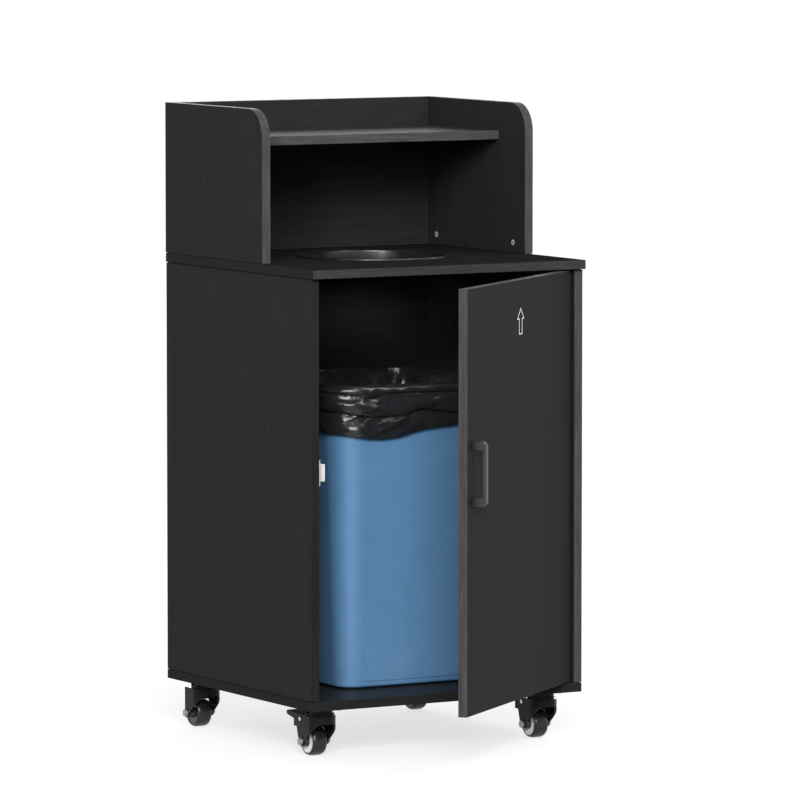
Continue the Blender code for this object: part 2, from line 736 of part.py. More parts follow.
def fork_side(front, back, taper):
    """Side outline of the fork: its front edges sweep back from the round band to the axle."""
    top = fork_top()
    low = top - FORK_RACE - FORK_BAND
    sweep_end = (CASTER_TRAIL - FORK_LEG_END, WHEEL_RADIUS)
    outline = [(back, top), (front, top), (front, low)]
    for step in range(CORNER_STEPS):
        share = step / CORNER_STEPS
        first = Vector((FORK_SWEEP_START, low)).lerp(Vector(FORK_SWEEP_KNEE), share)
        second = Vector(FORK_SWEEP_KNEE).lerp(Vector(sweep_end), share)
        outline.append(tuple(first.lerp(second, share)))
    outline += arc((CASTER_TRAIL, WHEEL_RADIUS), FORK_LEG_END, 180, 360, 2 * CORNER_STEPS)
    outline.append((back, WHEEL_RADIUS + taper))
    return outline


def build_fork(name, centre, braked):
    """Pressed fork: a swivel race on a round band that runs into two flat legs down to the axle."""
    top = fork_top()
    shoulder = top - FORK_RACE
    inside = fork_leg_inner()
    half = inside + FORK_PLATE
    reach, taper = (FORK_BRAKE_REACH, FORK_BRAKE_TAPER) if braked else (FORK_LEG_REACH, FORK_LEG_TAPER)
    back = CASTER_TRAIL + reach
    fork = add_object(
        f"{name}_caster_fork", extruded(fork_plan(half, back), 0, shoulder, upright), "caster_black", centre
    )
    cavity = extruded(fork_plan(inside, back + reach), -reach, fork_web_low(), upright)
    combine(fork, cavity, "DIFFERENCE")
    side = fork_side(-2 * half, back, taper)
    combine(fork, extruded(side, -2 * half, 2 * half, sideways), "INTERSECT")
    web_cut = block((-inside, FORK_WEB_BACK, 0), (inside, back + reach, top))
    combine(fork, web_cut, "DIFFERENCE")
    bore = KINGPIN_RADIUS + RUNNING_GAP
    rim = FORK_RACE_RADIUS + FORK_RACE_RIM
    race = [
        (bore, top),
        (FORK_RACE_RADIUS, top),
        (FORK_RACE_RADIUS, shoulder + FORK_RACE_RIM_HIGH),
        (rim, shoulder + FORK_RACE_RIM_HIGH),
        (rim, shoulder + FORK_RACE_RIM_LOW),
        (FORK_RACE_RADIUS, shoulder + FORK_RACE_RIM_LOW),
        (FORK_RACE_RADIUS, shoulder - FORK_PLATE / 2),
        (bore, shoulder - FORK_PLATE / 2),
    ]
    combine(fork, turned(race, HEAD_FACETS), "UNION")
    combine(fork, rod(bore, 0, top + FORK_RACE, facets=HEAD_FACETS), "DIFFERENCE")
    drill = rod(AXLE_RADIUS + PIN_CLEARANCE, -2 * half, 2 * half, "X")
    combine(fork, moved(drill, (0, CASTER_TRAIL, WHEEL_RADIUS)), "DIFFERENCE")
    if braked:
        drill = rod(PEDAL_PIN_RADIUS + PIN_CLEARANCE, -2 * half, 2 * half, "X")
        combine(fork, moved(drill, (0, PEDAL_PIVOT_BACK, pedal_pivot_height())), "DIFFERENCE")


def build_wheel(name, centre, hub_finish):
    """Axle bolt, hub and tyre of one wheel."""
    axle_centre = (centre[0], centre[1] + CASTER_TRAIL, WHEEL_RADIUS)
    flat = math.cos(math.pi / WHEEL_FACETS)
    half = WHEEL_WIDTH / 2
    seat = WHEEL_RADIUS - TYRE_DEPTH
    boss = half + HUB_BOSS
    dish = half - HUB_DISH
    bore = AXLE_RADIUS + RUNNING_GAP
    hub_profile = [
        (bore, -boss),
        (HUB_BOSS_RADIUS, -boss),
        (HUB_BOSS_RADIUS + HUB_CONE, -dish),
        ((seat - SEAT) / flat, -dish),
        ((seat - SEAT) / flat, dish),
        (HUB_BOSS_RADIUS + HUB_CONE, dish),
        (HUB_BOSS_RADIUS, boss),
        (bore, boss),
    ]
    phase = math.pi / WHEEL_FACETS
    hub = turned(hub_profile, WHEEL_FACETS, "X", phase)
    add_object(f"{name}_wheel_hub", hub, hub_finish, axle_centre)
    tread = WHEEL_RADIUS / flat
    tyre_profile = [
        (seat / flat, -half),
        (tread - WHEEL_CROWN, -half),
        (tread, WHEEL_CROWN - half),
        (tread, half - WHEEL_CROWN),
        (tread - WHEEL_CROWN, half),
        (seat / flat, half),
    ]
    tyre = turned(tyre_profile, WHEEL_FACETS, "X", phase)
    add_object(f"{name}_tyre", tyre, "tyre_black", axle_centre)
    grip = fork_leg_inner() + FORK_PLATE + SEAT
    axle = turned(headed_pin(AXLE_RADIUS, AXLE_HEAD_RADIUS, grip, AXLE_HEAD), PIN_FACETS, "X")
    add_object(f"{name}_axle_bolt", axle, "zinc_steel", axle_centre)


def headed_pin(radius, head_radius, grip, head):
    """Profile of a pin with a head at each end, grip being half the length between the heads."""
    end = grip + head
    return [
        (0, -end),
        (head_radius, -end),
        (head_radius, -grip),
        (radius, -grip),
        (radius, grip),
        (head_radius, grip),
        (head_radius, end),
        (0, end),
    ]


def pedal_pivot_height():
    """Height of the pedal's rivet above the floor."""
    return WHEEL_RADIUS + PEDAL_PIVOT_RISE


def build_pedal(name, centre):
    """Brake pedal behind the fork, hung on a rivet through both legs."""
    height = pedal_pivot_height()
    pivot = (centre[0], centre[1] + PEDAL_PIVOT_BACK, height)
    toe = PEDAL_TOE - PEDAL_PIVOT_BACK
    toe_round = PEDAL_THICKNESS / 2
    toe_centre = (toe - toe_round, PEDAL_TOE_RISE - toe_round)
    shoe_start = PEDAL_SHOE_START - PEDAL_PIVOT_BACK
    shoe_end = PEDAL_SHOE_END - PEDAL_PIVOT_BACK
    shoe_low = 2 * WHEEL_RADIUS - PEDAL_SHOE_DROP - height
    outline = arc((0, 0), PEDAL_BOSS, *PEDAL_BOSS_ARC, CORNER_STEPS)
    outline += [(shoe_start, shoe_low), (shoe_end, shoe_low), (shoe_end, -PEDAL_BOSS / 2)]
    outline += arc(toe_centre, toe_round, *PEDAL_TOE_ARC, CORNER_STEPS)
    half = fork_leg_inner() - PEDAL_SIDE_GAP
    body = extruded(outline, -half, half, sideways)
    pedal = add_object(f"{name}_brake_pedal", body, "caster_black", pivot)
    drill = rod(PEDAL_PIN_RADIUS + PIN_CLEARANCE, -2 * half, 2 * half, "X")
    combine(pedal, drill, "DIFFERENCE")
    grip = fork_leg_inner() + FORK_PLATE + SEAT
    profile = headed_pin(PEDAL_PIN_RADIUS, PEDAL_PIN_HEAD_RADIUS, grip, PEDAL_PIN_HEAD)
    add_object(f"{name}_pedal_pin", turned(profile, PIN_FACETS, "X"), "zinc_steel", pivot)


def build_casters():
    """Four swivel casters with trailing wheels; the front pair has brakes."""
    side = OUTER_X - CASTER_INSET_SIDE
    front = FRONT_Y + CASTER_INSET_END
    back = BACK_Y - CASTER_INSET_END
    for end, y in (("front", front), ("rear", back)):
        for hand, x in (("left", -side), ("right", side)):
            name = f"{end}_{hand}"
            centre = (x, y, 0)
            build_top_plate(name, centre)
            braked = end == "front"
            build_fork(name, centre, braked)
            build_wheel(name, centre, "hub_white" if braked else "ring_plastic")
            if braked:
                build_pedal(name, centre)


def bin_section(height, offset):
    """Bin outline at a height above its foot, grown by an offset."""
    grow = 2 * (BIN_SPREAD * height / BIN_HEIGHT + offset)
    return rounded_rectangle(BIN_FOOT_WIDTH + grow, BIN_FOOT_DEPTH + grow, BIN_CORNER + grow / 2)


def build_bin():
    """Tapered bin that stands on the bottom panel, and the film liner folded over its rim."""
    centre = (
        0,
        FRONT_Y + BIN_FRONT_SPACE + BIN_FOOT_DEPTH / 2,
        BOTTOM_TOP + SEAT,
    )
    lip_low = BIN_HEIGHT - BIN_LIP_HEIGHT
    wall_path = [
        (0, 0),
        (lip_low, 0),
        (lip_low, BIN_LIP),
        (BIN_HEIGHT, BIN_LIP),
        (BIN_HEIGHT, -BIN_WALL),
        (BIN_WALL, -BIN_WALL),
    ]
    shell = lofted([(bin_section(height, offset), height) for height, offset in wall_path])
    add_object("waste_bin", shell, "bin_blue", centre)
    hem = BIN_HEIGHT - LINER_SKIRT
    skirt = BIN_LIP + LINER_GAP
    over = BIN_HEIGHT + LINER_GAP
    inside = -BIN_WALL - LINER_GAP
    floor = BIN_WALL + LINER_GAP
    film_path = [
        (floor + LINER_FILM, inside - LINER_FILM),
        (over + LINER_FILM, inside - LINER_FILM),
        (over + LINER_FILM, skirt + LINER_FILM),
        (hem, skirt + LINER_FLARE + LINER_FILM),
        (hem, skirt + LINER_FLARE),
        (over, skirt),
        (over, inside),
        (floor, inside),
    ]
    film = lofted([(bin_section(height, offset), height) for height, offset in film_path])
    add_object("bin_liner", film, "liner_film", centre)


def main():
    """Build every piece of the cabinet."""
    build_carcass()
    build_drop_ring()
    build_hutch()
    build_catch()
    link_pivot, door_pivot = build_door_pivots()
    build_door(door_pivot)
    build_handle(door_pivot)
    build_strike(door_pivot)
    build_hinges(link_pivot, door_pivot)
    build_casters()
    build_bin()


clear_scene()
MATERIALS = {finish: make_material(finish) for finish in FINISHES}
main()
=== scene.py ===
"""Looks of a waste bin cabinet on casters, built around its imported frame.

Metres, +Z up, in the frame's own axes: the cabinet faces -Y and its door stands part open.
"""

import json
import logging
import math
from dataclasses import dataclass, field
from enum import Enum
from typing import Callable, Iterable, Sequence

import bmesh
import bpy
from mathutils import Matrix, Vector, noise


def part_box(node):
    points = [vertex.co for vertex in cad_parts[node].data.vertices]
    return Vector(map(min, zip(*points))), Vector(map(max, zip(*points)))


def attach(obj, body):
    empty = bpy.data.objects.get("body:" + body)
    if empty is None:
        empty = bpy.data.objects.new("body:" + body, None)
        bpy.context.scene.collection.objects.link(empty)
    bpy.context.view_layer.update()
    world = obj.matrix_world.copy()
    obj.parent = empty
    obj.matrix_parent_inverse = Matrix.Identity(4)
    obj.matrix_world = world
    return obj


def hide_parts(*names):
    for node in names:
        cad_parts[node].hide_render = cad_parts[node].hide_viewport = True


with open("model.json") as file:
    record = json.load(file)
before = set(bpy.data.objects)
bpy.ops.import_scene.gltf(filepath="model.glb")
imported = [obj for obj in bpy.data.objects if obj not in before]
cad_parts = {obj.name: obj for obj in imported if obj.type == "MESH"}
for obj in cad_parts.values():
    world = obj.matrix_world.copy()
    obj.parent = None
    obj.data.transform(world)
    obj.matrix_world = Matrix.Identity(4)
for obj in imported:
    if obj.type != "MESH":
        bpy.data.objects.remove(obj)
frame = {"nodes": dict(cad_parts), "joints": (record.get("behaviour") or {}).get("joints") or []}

LOG = logging.getLogger("bin_cabinet")
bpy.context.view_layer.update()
MERGE = 1e-5
FLAT_ANGLE = math.radians(1.0)
SHARP_ANGLE = math.radians(40.0)
CRISP_ANGLE = math.radians(30.0)
SQUARE_ON = 0.98
UNIT = (0.0, 1.0)
MIX_COLOURS = (6, 7)
MIX_RESULT = 2
SHARPEST = 0.2
ORIGIN = (0.0, 0.0, 0.0)

Point2 = tuple[float, float]
Point3 = tuple[float, float, float]
Colour = tuple[float, float, float, float]
Place = Callable[[float, float, float], Point3]
Spot = tuple[Vector, Vector]
Shape = bmesh.types.BMesh
Socket = bpy.types.NodeSocket
Piece = bpy.types.Object


class GrainRun(Enum):
    """Which way the wood grain runs on a board, as the stretch of its pattern along X, Y and Z."""

    UPRIGHT = (1.0, 1.0, 0.035)
    ACROSS = (0.035, 1.0, 1.0)


class Zone(Enum):
    """The parts of the bag's path, from its hem to the middle of its floor."""

    SKIRT = "skirt"
    RIM = "rim"
    INSIDE = "inside"
    FLOOR = "floor"


class Axis(Enum):
    """An axis of the frame."""

    X = 0
    Y = 1
    Z = 2


# Node wiring


class Wiring:
    """Adds nodes to a node tree and joins their sockets."""

    def __init__(self, tree: bpy.types.NodeTree) -> None:
        """Keep the tree that is being wired."""
        self.tree = tree

    def add(self, kind: str, **settings: object) -> bpy.types.Node:
        """Add a node.

        Args:
            kind: Blender's name of the node type.
            settings: attributes to set on it.

        Returns:
            The new node.
        """
        node = self.tree.nodes.new(kind)
        for name, value in settings.items():
            setattr(node, name, value)
        return node

    def join(self, source: Socket, target: Socket) -> None:
        """Link an output socket to an input socket."""
        self.tree.links.new(source, target)

    def feed(self, target: Socket, value: object) -> None:
        """Give an input what it takes.

        Args:
            target: the input socket.
            value: a socket to link to it, or its fixed value.
        """
        if isinstance(value, Socket):
            self.join(value, target)
        else:
            target.default_value = value

    def maths(self, operation: str, first: object, second: object) -> Socket:
        """Combine two values, each a socket or a number.

        Args:
            operation: name of the sum, such as MULTIPLY.
            first: left value.
            second: right value.

        Returns:
            The socket with the result.
        """
        node = self.add("ShaderNodeMath", operation=operation)
        for socket, value in zip(node.inputs, (first, second)):
            self.feed(socket, value)
        return node.outputs[0]

    def weighted(self, *terms: tuple[Socket, float]) -> Socket:
        """Add up values, each times its weight.

        Args:
            terms: socket and weight of each value.

        Returns:
            The socket with the sum.
        """
        parts = [self.maths("MULTIPLY", socket, weight) for socket, weight in terms]
        total = parts[0]
        for part in parts[1:]:
            total = self.maths("ADD", total, part)
        return total

    def ranged(self, value: Socket, source: Point2, target: Point2 = UNIT) -> Socket:
        """Map a value from one range to another, clamped.

        Args:
            value: socket to map.
            source: low and high of the incoming range.
            target: low and high of the outgoing range.

        Returns:
            The mapped socket.
        """
        node = self.add("ShaderNodeMapRange")
        self.join(value, node.inputs["Value"])
        for name, number in zip(("From Min", "From Max", "To Min", "To Max"), (*source, *target)):
            node.inputs[name].default_value = number
        return node.outputs["Result"]

    def mixed(self, share: Socket, first: object, second: object) -> Socket:
        """Blend two colours, each a socket or a colour.

        Args:
            share: socket with the share of the second colour.
            first: colour at share 0.
            second: colour at share 1.

        Returns:
            The blended colour socket.
        """
        node = self.add("ShaderNodeMix", data_type="RGBA")
        self.join(share, node.inputs["Factor"])
        for index, value in zip(MIX_COLOURS, (first, second)):
            self.feed(node.inputs[index], value)
        return node.outputs[MIX_RESULT]

    def cloud(self, vector: Socket, *, scale: float, detail: float, bend: float = 0.0) -> Socket:
        """A noise value over a vector.

        Args:
            vector: coordinates.
            scale: cells per unit.
            detail: octaves.
            bend: distortion.

        Returns:
            The noise value socket.
        """
        node = self.add("ShaderNodeTexNoise")
        self.join(vector, node.inputs["Vector"])
        node.inputs["Scale"].default_value = scale
        node.inputs["Detail"].default_value = detail
        node.inputs["Distortion"].default_value = bend
        return node.outputs[0]


class SurfaceGroup(Wiring):
    """A shader group that puts out the colour, the roughness and the height of a surface."""

    def __init__(self, name: str, *colours: str, gloss: bool = False) -> None:
        """Start the group with its named sockets.

        Args:
            name: name of the group.
            colours: names of its colour inputs.
            gloss: whether it takes the finish's own roughness.
        """
        super().__init__(bpy.data.node_groups.new(name, "ShaderNodeTree"))
        takes = [("Vector", "Vector"), *((colour, "Color") for colour in colours)]
        if gloss:
            takes.append(("Gloss", "Float"))
        gives = (("Colour", "Color"), ("Roughness", "Float"), ("Height", "Float"))
        for way, sockets in (("INPUT", takes), ("OUTPUT", gives)):
            for label, kind in sockets:
                self.tree.interface.new_socket(label, in_out=way, socket_type=f"NodeSocket{kind}")
        self.given = self.add("NodeGroupInput").outputs
        self.vector = self.given["Vector"]

    def mask(self, low: float, high: float, **pattern: float) -> Socket:
        """Noise over the surface, stretched to run from 0 to 1.

        Args:
            low: noise value that becomes 0.
            high: noise value that becomes 1.
            pattern: scale, detail and bend of the noise.

        Returns:
            The socket with the mask.
        """
        return self.ranged(self.cloud(self.vector, **pattern), (low, high))

    def two_tone(self, share: Socket) -> Socket:
        """The finish's colour, blended into its shade."""
        return self.mixed(share, self.given["Colour"], self.given["Shade"])

    def finished(self, **surface: Socket) -> bpy.types.NodeTree:
        """Join the results to the group's outputs.

        Args:
            surface: sockets with the colour, the roughness and the height.

        Returns:
            The shader group.
        """
        sink = self.add("NodeGroupOutput")
        for label, socket in surface.items():
            self.join(socket, sink.inputs[label.capitalize()])
        return self.tree


class Effects:
    """The shader groups that the finishes share, each built once."""

    def __init__(self) -> None:
        """Build every group."""
        self.grain = self.board_grain()
        self.moulded = self.moulded_skin()
        self.plated = self.plated_skin()
        self.creased = self.creased_film()

    def board_grain(self) -> bpy.types.NodeTree:
        """Fine wood grain printed and embossed on a melamine board.

        Returns:
            The shader group.
        """
        group = SurfaceGroup("board_grain", "Dark", "Light")
        fine = group.cloud(group.vector, scale=620.0, detail=3.0)
        figure = group.cloud(group.vector, scale=60.0, detail=4.0, bend=1.4)
        streak = group.weighted((fine, 0.6), (figure, 0.4))
        pore = group.mask(0.60, 0.70, scale=1300.0, detail=2.0)
        tone = group.mixed(group.ranged(streak, (0.36, 0.66)), group.given["Dark"], group.given["Light"])
        return group.finished(
            colour=group.mixed(group.maths("MULTIPLY", pore, 0.55), tone, group.given["Dark"]),
            roughness=group.ranged(streak, (0.3, 0.7), (0.40, 0.54)),
            height=group.weighted((streak, 0.5), (pore, -1.0)),
        )

    def moulded_skin(self) -> bpy.types.NodeTree:
        """Faint mottle, handling marks and orange peel on moulded plastic, rubber and enamel.

        Returns:
            The shader group.
        """
        group = SurfaceGroup("moulded_skin", "Colour", "Shade", gloss=True)
        mottle = group.mask(0.35, 0.68, scale=26.0, detail=5.0, bend=0.6)
        marks = group.mask(0.58, 0.72, scale=140.0, detail=6.0, bend=2.0)
        peel = group.cloud(group.vector, scale=900.0, detail=2.0)
        return group.finished(
            colour=group.two_tone(mottle),
            roughness=group.maths("ADD", group.given["Gloss"], group.weighted((mottle, 0.05), (marks, 0.06))),
            height=group.weighted((peel, 0.6), (marks, -0.2)),
        )

    def plated_skin(self) -> bpy.types.NodeTree:
        """Drawn lines and a cloudy tone on plated steel.

        Returns:
            The shader group.
        """
        group = SurfaceGroup("plated_skin", "Colour", "Shade", gloss=True)
        stretch = group.add("ShaderNodeMapping")
        group.join(group.vector, stretch.inputs["Vector"])
        stretch.inputs["Scale"].default_value = (1.0, 1.0, 0.06)
        lines = group.cloud(stretch.outputs["Vector"], scale=2400.0, detail=2.0)
        tone = group.mask(0.32, 0.7, scale=90.0, detail=4.0, bend=1.0)
        return group.finished(
            colour=group.two_tone(tone),
            roughness=group.maths("ADD", group.given["Gloss"], group.weighted((tone, 0.10), (lines, 0.08))),
            height=lines,
        )

    def creased_film(self) -> bpy.types.NodeTree:
        """Small crinkles and a cloudy sheen on thin plastic film.

        Returns:
            The shader group.
        """
        group = SurfaceGroup("creased_film", "Colour", "Shade")
        crinkle = group.cloud(group.vector, scale=85.0, detail=6.0, bend=1.6)
        fine = group.cloud(group.vector, scale=260.0, detail=4.0, bend=0.8)
        return group.finished(
            colour=group.two_tone(group.mask(0.35, 0.7, scale=40.0, detail=3.0)),
            roughness=group.ranged(fine, (0.3, 0.7), (0.15, 0.25)),
            height=group.weighted((crinkle, 1.0), (fine, 0.35)),
        )


EFFECTS = Effects()


# Finishes


@dataclass(frozen=True)
class Finish:
    """A surface finish that makes one material.

    The gloss, coat and metal values are the shader's own; the group adds what changes over the surface.
    """

    name: str
    slot: str
    colour: Colour
    shade: Colour
    gloss: float = 0.35
    metal: float = 0.0
    specular: float = 0.5
    coat: float = 0.0
    bump: float = 0.08
    relief: float = 0.0002
    coat_gloss: float = 0.08

    def group(self) -> bpy.types.NodeTree:
        """The shader group that this finish is drawn with."""
        return EFFECTS.plated if self.metal > 0.0 else EFFECTS.moulded

    def stretch(self) -> Point3:
        """Scale of the pattern along X, Y and Z."""
        return (1.0, 1.0, 1.0)

    def fill(self, effect: bpy.types.Node) -> None:
        """Set the group's own inputs.

        Args:
            effect: the group node in the material.
        """
        effect.inputs["Colour"].default_value = self.colour
        effect.inputs["Shade"].default_value = self.shade
        effect.inputs["Gloss"].default_value = self.gloss

    def material(self) -> bpy.types.Material:
        """Make the material, or find the one made before.

        Returns:
            The material.
        """
        made = bpy.data.materials.get(self.name)
        if made is not None:
            return made
        made = bpy.data.materials.new(self.name)
        made.use_nodes = True
        wiring = Wiring(made.node_tree)
        shader = made.node_tree.nodes["Principled BSDF"]
        shader.inputs["Metallic"].default_value = self.metal
        shader.inputs["Specular IOR Level"].default_value = self.specular
        shader.inputs["Coat Weight"].default_value = self.coat
        shader.inputs["Coat Roughness"].default_value = self.coat_gloss
        where = wiring.add("ShaderNodeTexCoord")
        mapping = wiring.add("ShaderNodeMapping")
        mapping.inputs["Scale"].default_value = self.stretch()
        wiring.join(where.outputs["Object"], mapping.inputs["Vector"])
        effect = wiring.add("ShaderNodeGroup", node_tree=self.group())
        wiring.join(mapping.outputs["Vector"], effect.inputs["Vector"])
        self.fill(effect)
        wiring.join(effect.outputs["Colour"], shader.inputs["Base Color"])
        wiring.join(effect.outputs["Roughness"], shader.inputs["Roughness"])
        bump = wiring.add("ShaderNodeBump")
        bump.inputs["Strength"].default_value = self.bump
        bump.inputs["Distance"].default_value = self.relief
        wiring.join(effect.outputs["Height"], bump.inputs["Height"])
        wiring.join(bump.outputs["Normal"], shader.inputs["Normal"])
        return made


@dataclass(frozen=True)
class GrainFinish(Finish):
    """Wood-grain melamine, or the banding on its edges."""

    run: GrainRun = GrainRun.UPRIGHT

    def group(self) -> bpy.types.NodeTree:
        """The grain group."""
        return EFFECTS.grain

    def stretch(self) -> Point3:
        """Scale of the grain along X, Y and Z."""
        return self.run.value

    def fill(self, effect: bpy.types.Node) -> None:
        """Set the two tones of the grain.

        Args:
            effect: the group node in the material.
        """
        effect.inputs["Dark"].default_value = self.shade
        effect.inputs["Light"].default_value = self.colour


@dataclass(frozen=True)
class FilmFinish(Finish):
    """Thin glossy plastic film."""

    def group(self) -> bpy.types.NodeTree:
        """The film group."""
        return EFFECTS.creased

    def fill(self, effect: bpy.types.Node) -> None:
        """Set the two tones of the film.

        Args:
            effect: the group node in the material.
        """
        effect.inputs["Colour"].default_value = self.colour
        effect.inputs["Shade"].default_value = self.shade


def grey(level: float, warm: float = 0.0) -> Colour:
    """A grey colour.

    Args:
        level: linear brightness.
        warm: share added to red and taken from blue.

    Returns:
        The colour with full alpha.
    """
    return (level * (1.0 + warm), level, level * (1.0 - warm), 1.0)


def tinted(red: float, green: float, blue: float) -> Colour:
    """A colour with full alpha."""
    return (red, green, blue, 1.0)


def board_finish(
    name: str, light: Colour, dark: Colour, specular: float, bump: float, run: GrainRun = GrainRun.ACROSS
) -> GrainFinish:
    """A finish of the black board.

    Args:
        name: name of its material.
        light: light tone of the grain.
        dark: dark tone of the grain.
        specular: strength of its reflections.
        bump: strength of its embossing.
        run: which way the grain runs.

    Returns:
        The finish.
    """
    return GrainFinish(name, "black_board", light, dark, specular=specular, bump=bump, run=run)


def both_runs(
    name: str, light: Colour, dark: Colour, specular: float, bump: float
) -> dict[GrainRun, GrainFinish]:
    """A finish of the black board with its grain each way.

    Args:
        name: first part of the materials' names.
        light: light tone of the grain.
        dark: dark tone of the grain.
        specular: strength of its reflections.
        bump: strength of its embossing.

    Returns:
        The finish for each run of the grain.
    """
    return {
        run: board_finish(f"{name}_{run.name.lower()}", light, dark, specular, bump, run) for run in GrainRun
    }


BOARD_FACES = both_runs("melamine", grey(0.0276, 0.04), grey(0.0188, 0.04), specular=0.010, bump=0.30)
BANDING = both_runs(
    "banding", tinted(0.082, 0.0775, 0.080), tinted(0.041, 0.0385, 0.040), specular=0.020, bump=0.20
)
# Painted shade: a darker copy of the banding for edges that lie in shade, on the left side, the bottom and
# the counter's sides.
SHADED_EDGE_BANDING = both_runs(
    "dark_banding", grey(0.0215, 0.03), grey(0.0160, 0.03), specular=0.010, bump=0.10
)
FLOOR_FACE = board_finish(
    "melamine_floor", grey(0.0240, 0.04), grey(0.0120, 0.04), specular=0.09, bump=0.16
)
# Painted shade: the counter's top is the same melamine, made darker for the light that falls on it.
SHADED_COUNTER_FACE = board_finish(
    "melamine_counter", grey(0.0225, 0.04), grey(0.0110, 0.04), specular=0.0, bump=0.24
)
# Painted shade: the counter's front banding, a copy darker than the lit banding and lighter than the shaded
# one.
SHADED_COUNTER_FRONT = board_finish(
    "banding_counter", grey(0.0520, 0.01), grey(0.0280, 0.01), specular=0.010, bump=0.20
)
# Painted shade: the back panel's melamine, made darker for the shade inside the cabinet.
SHADED_BACK_FACE = board_finish(
    "backing_board", grey(0.0180, 0.04), grey(0.0110, 0.04), specular=0.0, bump=0.16
)
RING_PLASTIC = Finish("ring_plastic_black", "ring_plastic", grey(0.010), grey(0.012), gloss=0.20, bump=0.01)
POWDER_COAT = Finish("handle_powder_coat", "handle_metal", grey(0.013), grey(0.018), gloss=0.34, bump=0.18)
CATCH_WHITE = Finish(
    "catch_white", "catch_plastic", tinted(0.80, 0.80, 0.78), tinted(0.74, 0.74, 0.71), gloss=0.38
)
NICKEL = Finish(
    "hinge_nickel", "hinge_steel", tinted(0.64, 0.63, 0.61), tinted(0.58, 0.57, 0.55), gloss=0.36, metal=1.0
)
ZINC = Finish(
    "zinc_plate", "zinc_steel", tinted(0.60, 0.60, 0.60), tinted(0.50, 0.50, 0.49), gloss=0.30, metal=1.0
)
DULL_ZINC = Finish(
    "dull_zinc", "zinc_steel", tinted(0.40, 0.385, 0.375), tinted(0.31, 0.30, 0.29), gloss=0.32, metal=1.0
)
PALE_ZINC = Finish(
    "pale_zinc", "zinc_steel", tinted(0.66, 0.66, 0.65), tinted(0.55, 0.55, 0.54), gloss=0.30, metal=0.35
)
MAGNET = Finish("magnet_face", "zinc_steel", tinted(0.74, 0.74, 0.72), tinted(0.66, 0.66, 0.64), gloss=0.42)
ENAMEL = Finish(
    "caster_enamel", "caster_black", grey(0.0070, 0.08), grey(0.0095, 0.08),
    gloss=0.15, specular=0.09, bump=0.03,
)
RUBBER = Finish("tyre_rubber", "tyre_black", grey(0.012), grey(0.016), gloss=0.26, specular=0.30, bump=0.10)
HUB_WHITE = Finish(
    "hub_white_plastic", "hub_white", tinted(0.90, 0.90, 0.89), tinted(0.85, 0.85, 0.83), gloss=0.32
)
BIN_BLUE = Finish(
    "bin_blue_plastic", "bin_blue", tinted(0.104, 0.232, 0.412), tinted(0.096, 0.217, 0.388),
    gloss=0.30, specular=0.34, bump=0.10,
)
FILM = FilmFinish(
    "liner_black_film", "liner_film", tinted(0.0135, 0.0140, 0.0160), tinted(0.0190, 0.0196, 0.0220),
    specular=0.36, bump=0.22, relief=0.0015,
)
PRINT_WHITE = Finish(
    "white_print", "black_board", tinted(0.86, 0.86, 0.86), tinted(0.80, 0.80, 0.80), gloss=0.45
)


# Mesh making


def fresh_object(name: str, mesh: bpy.types.Mesh) -> Piece:
    """Link a mesh into the scene as an object at the origin.

    Args:
        name: name of the object.
        mesh: its mesh.

    Returns:
        The object.
    """
    obj = bpy.data.objects.new(name, mesh)
    bpy.context.scene.collection.objects.link(obj)
    return obj


def piece_from(name: str, shape: Shape, *finishes: Finish, recalc: bool = True) -> Piece:
    """Turn a bmesh into a smooth-shaded object with its finishes.

    Args:
        name: name of the object.
        shape: geometry, freed here.
        finishes: one for each material index.
        recalc: whether to turn all faces outwards first.

    Returns:
        The object.
    """
    if recalc:
        bmesh.ops.recalc_face_normals(shape, faces=shape.faces)
    mesh = bpy.data.meshes.new(name)
    shape.to_mesh(mesh)
    shape.free()
    smooth(mesh)
    for finish in finishes:
        mesh.materials.append(finish.material())
    return fresh_object(name, mesh)


def smooth(mesh: bpy.types.Mesh) -> None:
    """Shade a mesh smooth except across its sharp edges."""
    mesh.shade_smooth()
    mesh.set_sharp_from_angle(angle=SHARP_ANGLE)


def bake(obj: Piece) -> Piece:
    """Apply an object's modifiers to its mesh.

    Args:
        obj: object with live modifiers.

    Returns:
        The same object, with none.
    """
    graph = bpy.context.evaluated_depsgraph_get()
    graph.update()
    old = obj.data
    made = bpy.data.meshes.new_from_object(obj.evaluated_get(graph), depsgraph=graph)
    obj.modifiers.clear()
    obj.data = made
    bpy.data.meshes.remove(old)
    made.name = obj.name
    return obj


def even_normals(obj: Piece) -> Piece:
    """Keep flat faces flat beside their rounded edges."""
    obj.modifiers.new("flats", "WEIGHTED_NORMAL").keep_sharp = True
    return bake(obj)


def carve(obj: Piece, cutters: Iterable[Shape]) -> Piece:
    """Cut shapes out of an object.

    Args:
        obj: object to cut.
        cutters: closed shapes, freed here.

    Returns:
        The cut object.
    """
    for cutter in cutters:
        bmesh.ops.recalc_face_normals(cutter, faces=cutter.faces)
        mesh = bpy.data.meshes.new("cutter")
        cutter.to_mesh(mesh)
        cutter.free()
        tool = fresh_object("cutter", mesh)
        modifier = obj.modifiers.new("cut", "BOOLEAN")
        modifier.object = tool
        modifier.operation = "DIFFERENCE"
        modifier.solver = "EXACT"
        bake(obj)
        bpy.data.objects.remove(tool)
        bpy.data.meshes.remove(mesh)
    return obj


def mount(obj: Piece, body: str, finish: Finish, *nodes: str) -> Piece:
    """Put a finished piece on its body and hide the nodes that it stands for.

    Args:
        obj: the piece.
        body: body that it moves with.
        finish: not used.
        nodes: nodes that it replaces.

    Returns:
        The piece.
    """
    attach(obj, body)
    if nodes:
        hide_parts(*nodes)
    LOG.info("%s on %s: %d faces", obj.name, body, len(obj.data.polygons))
    return obj


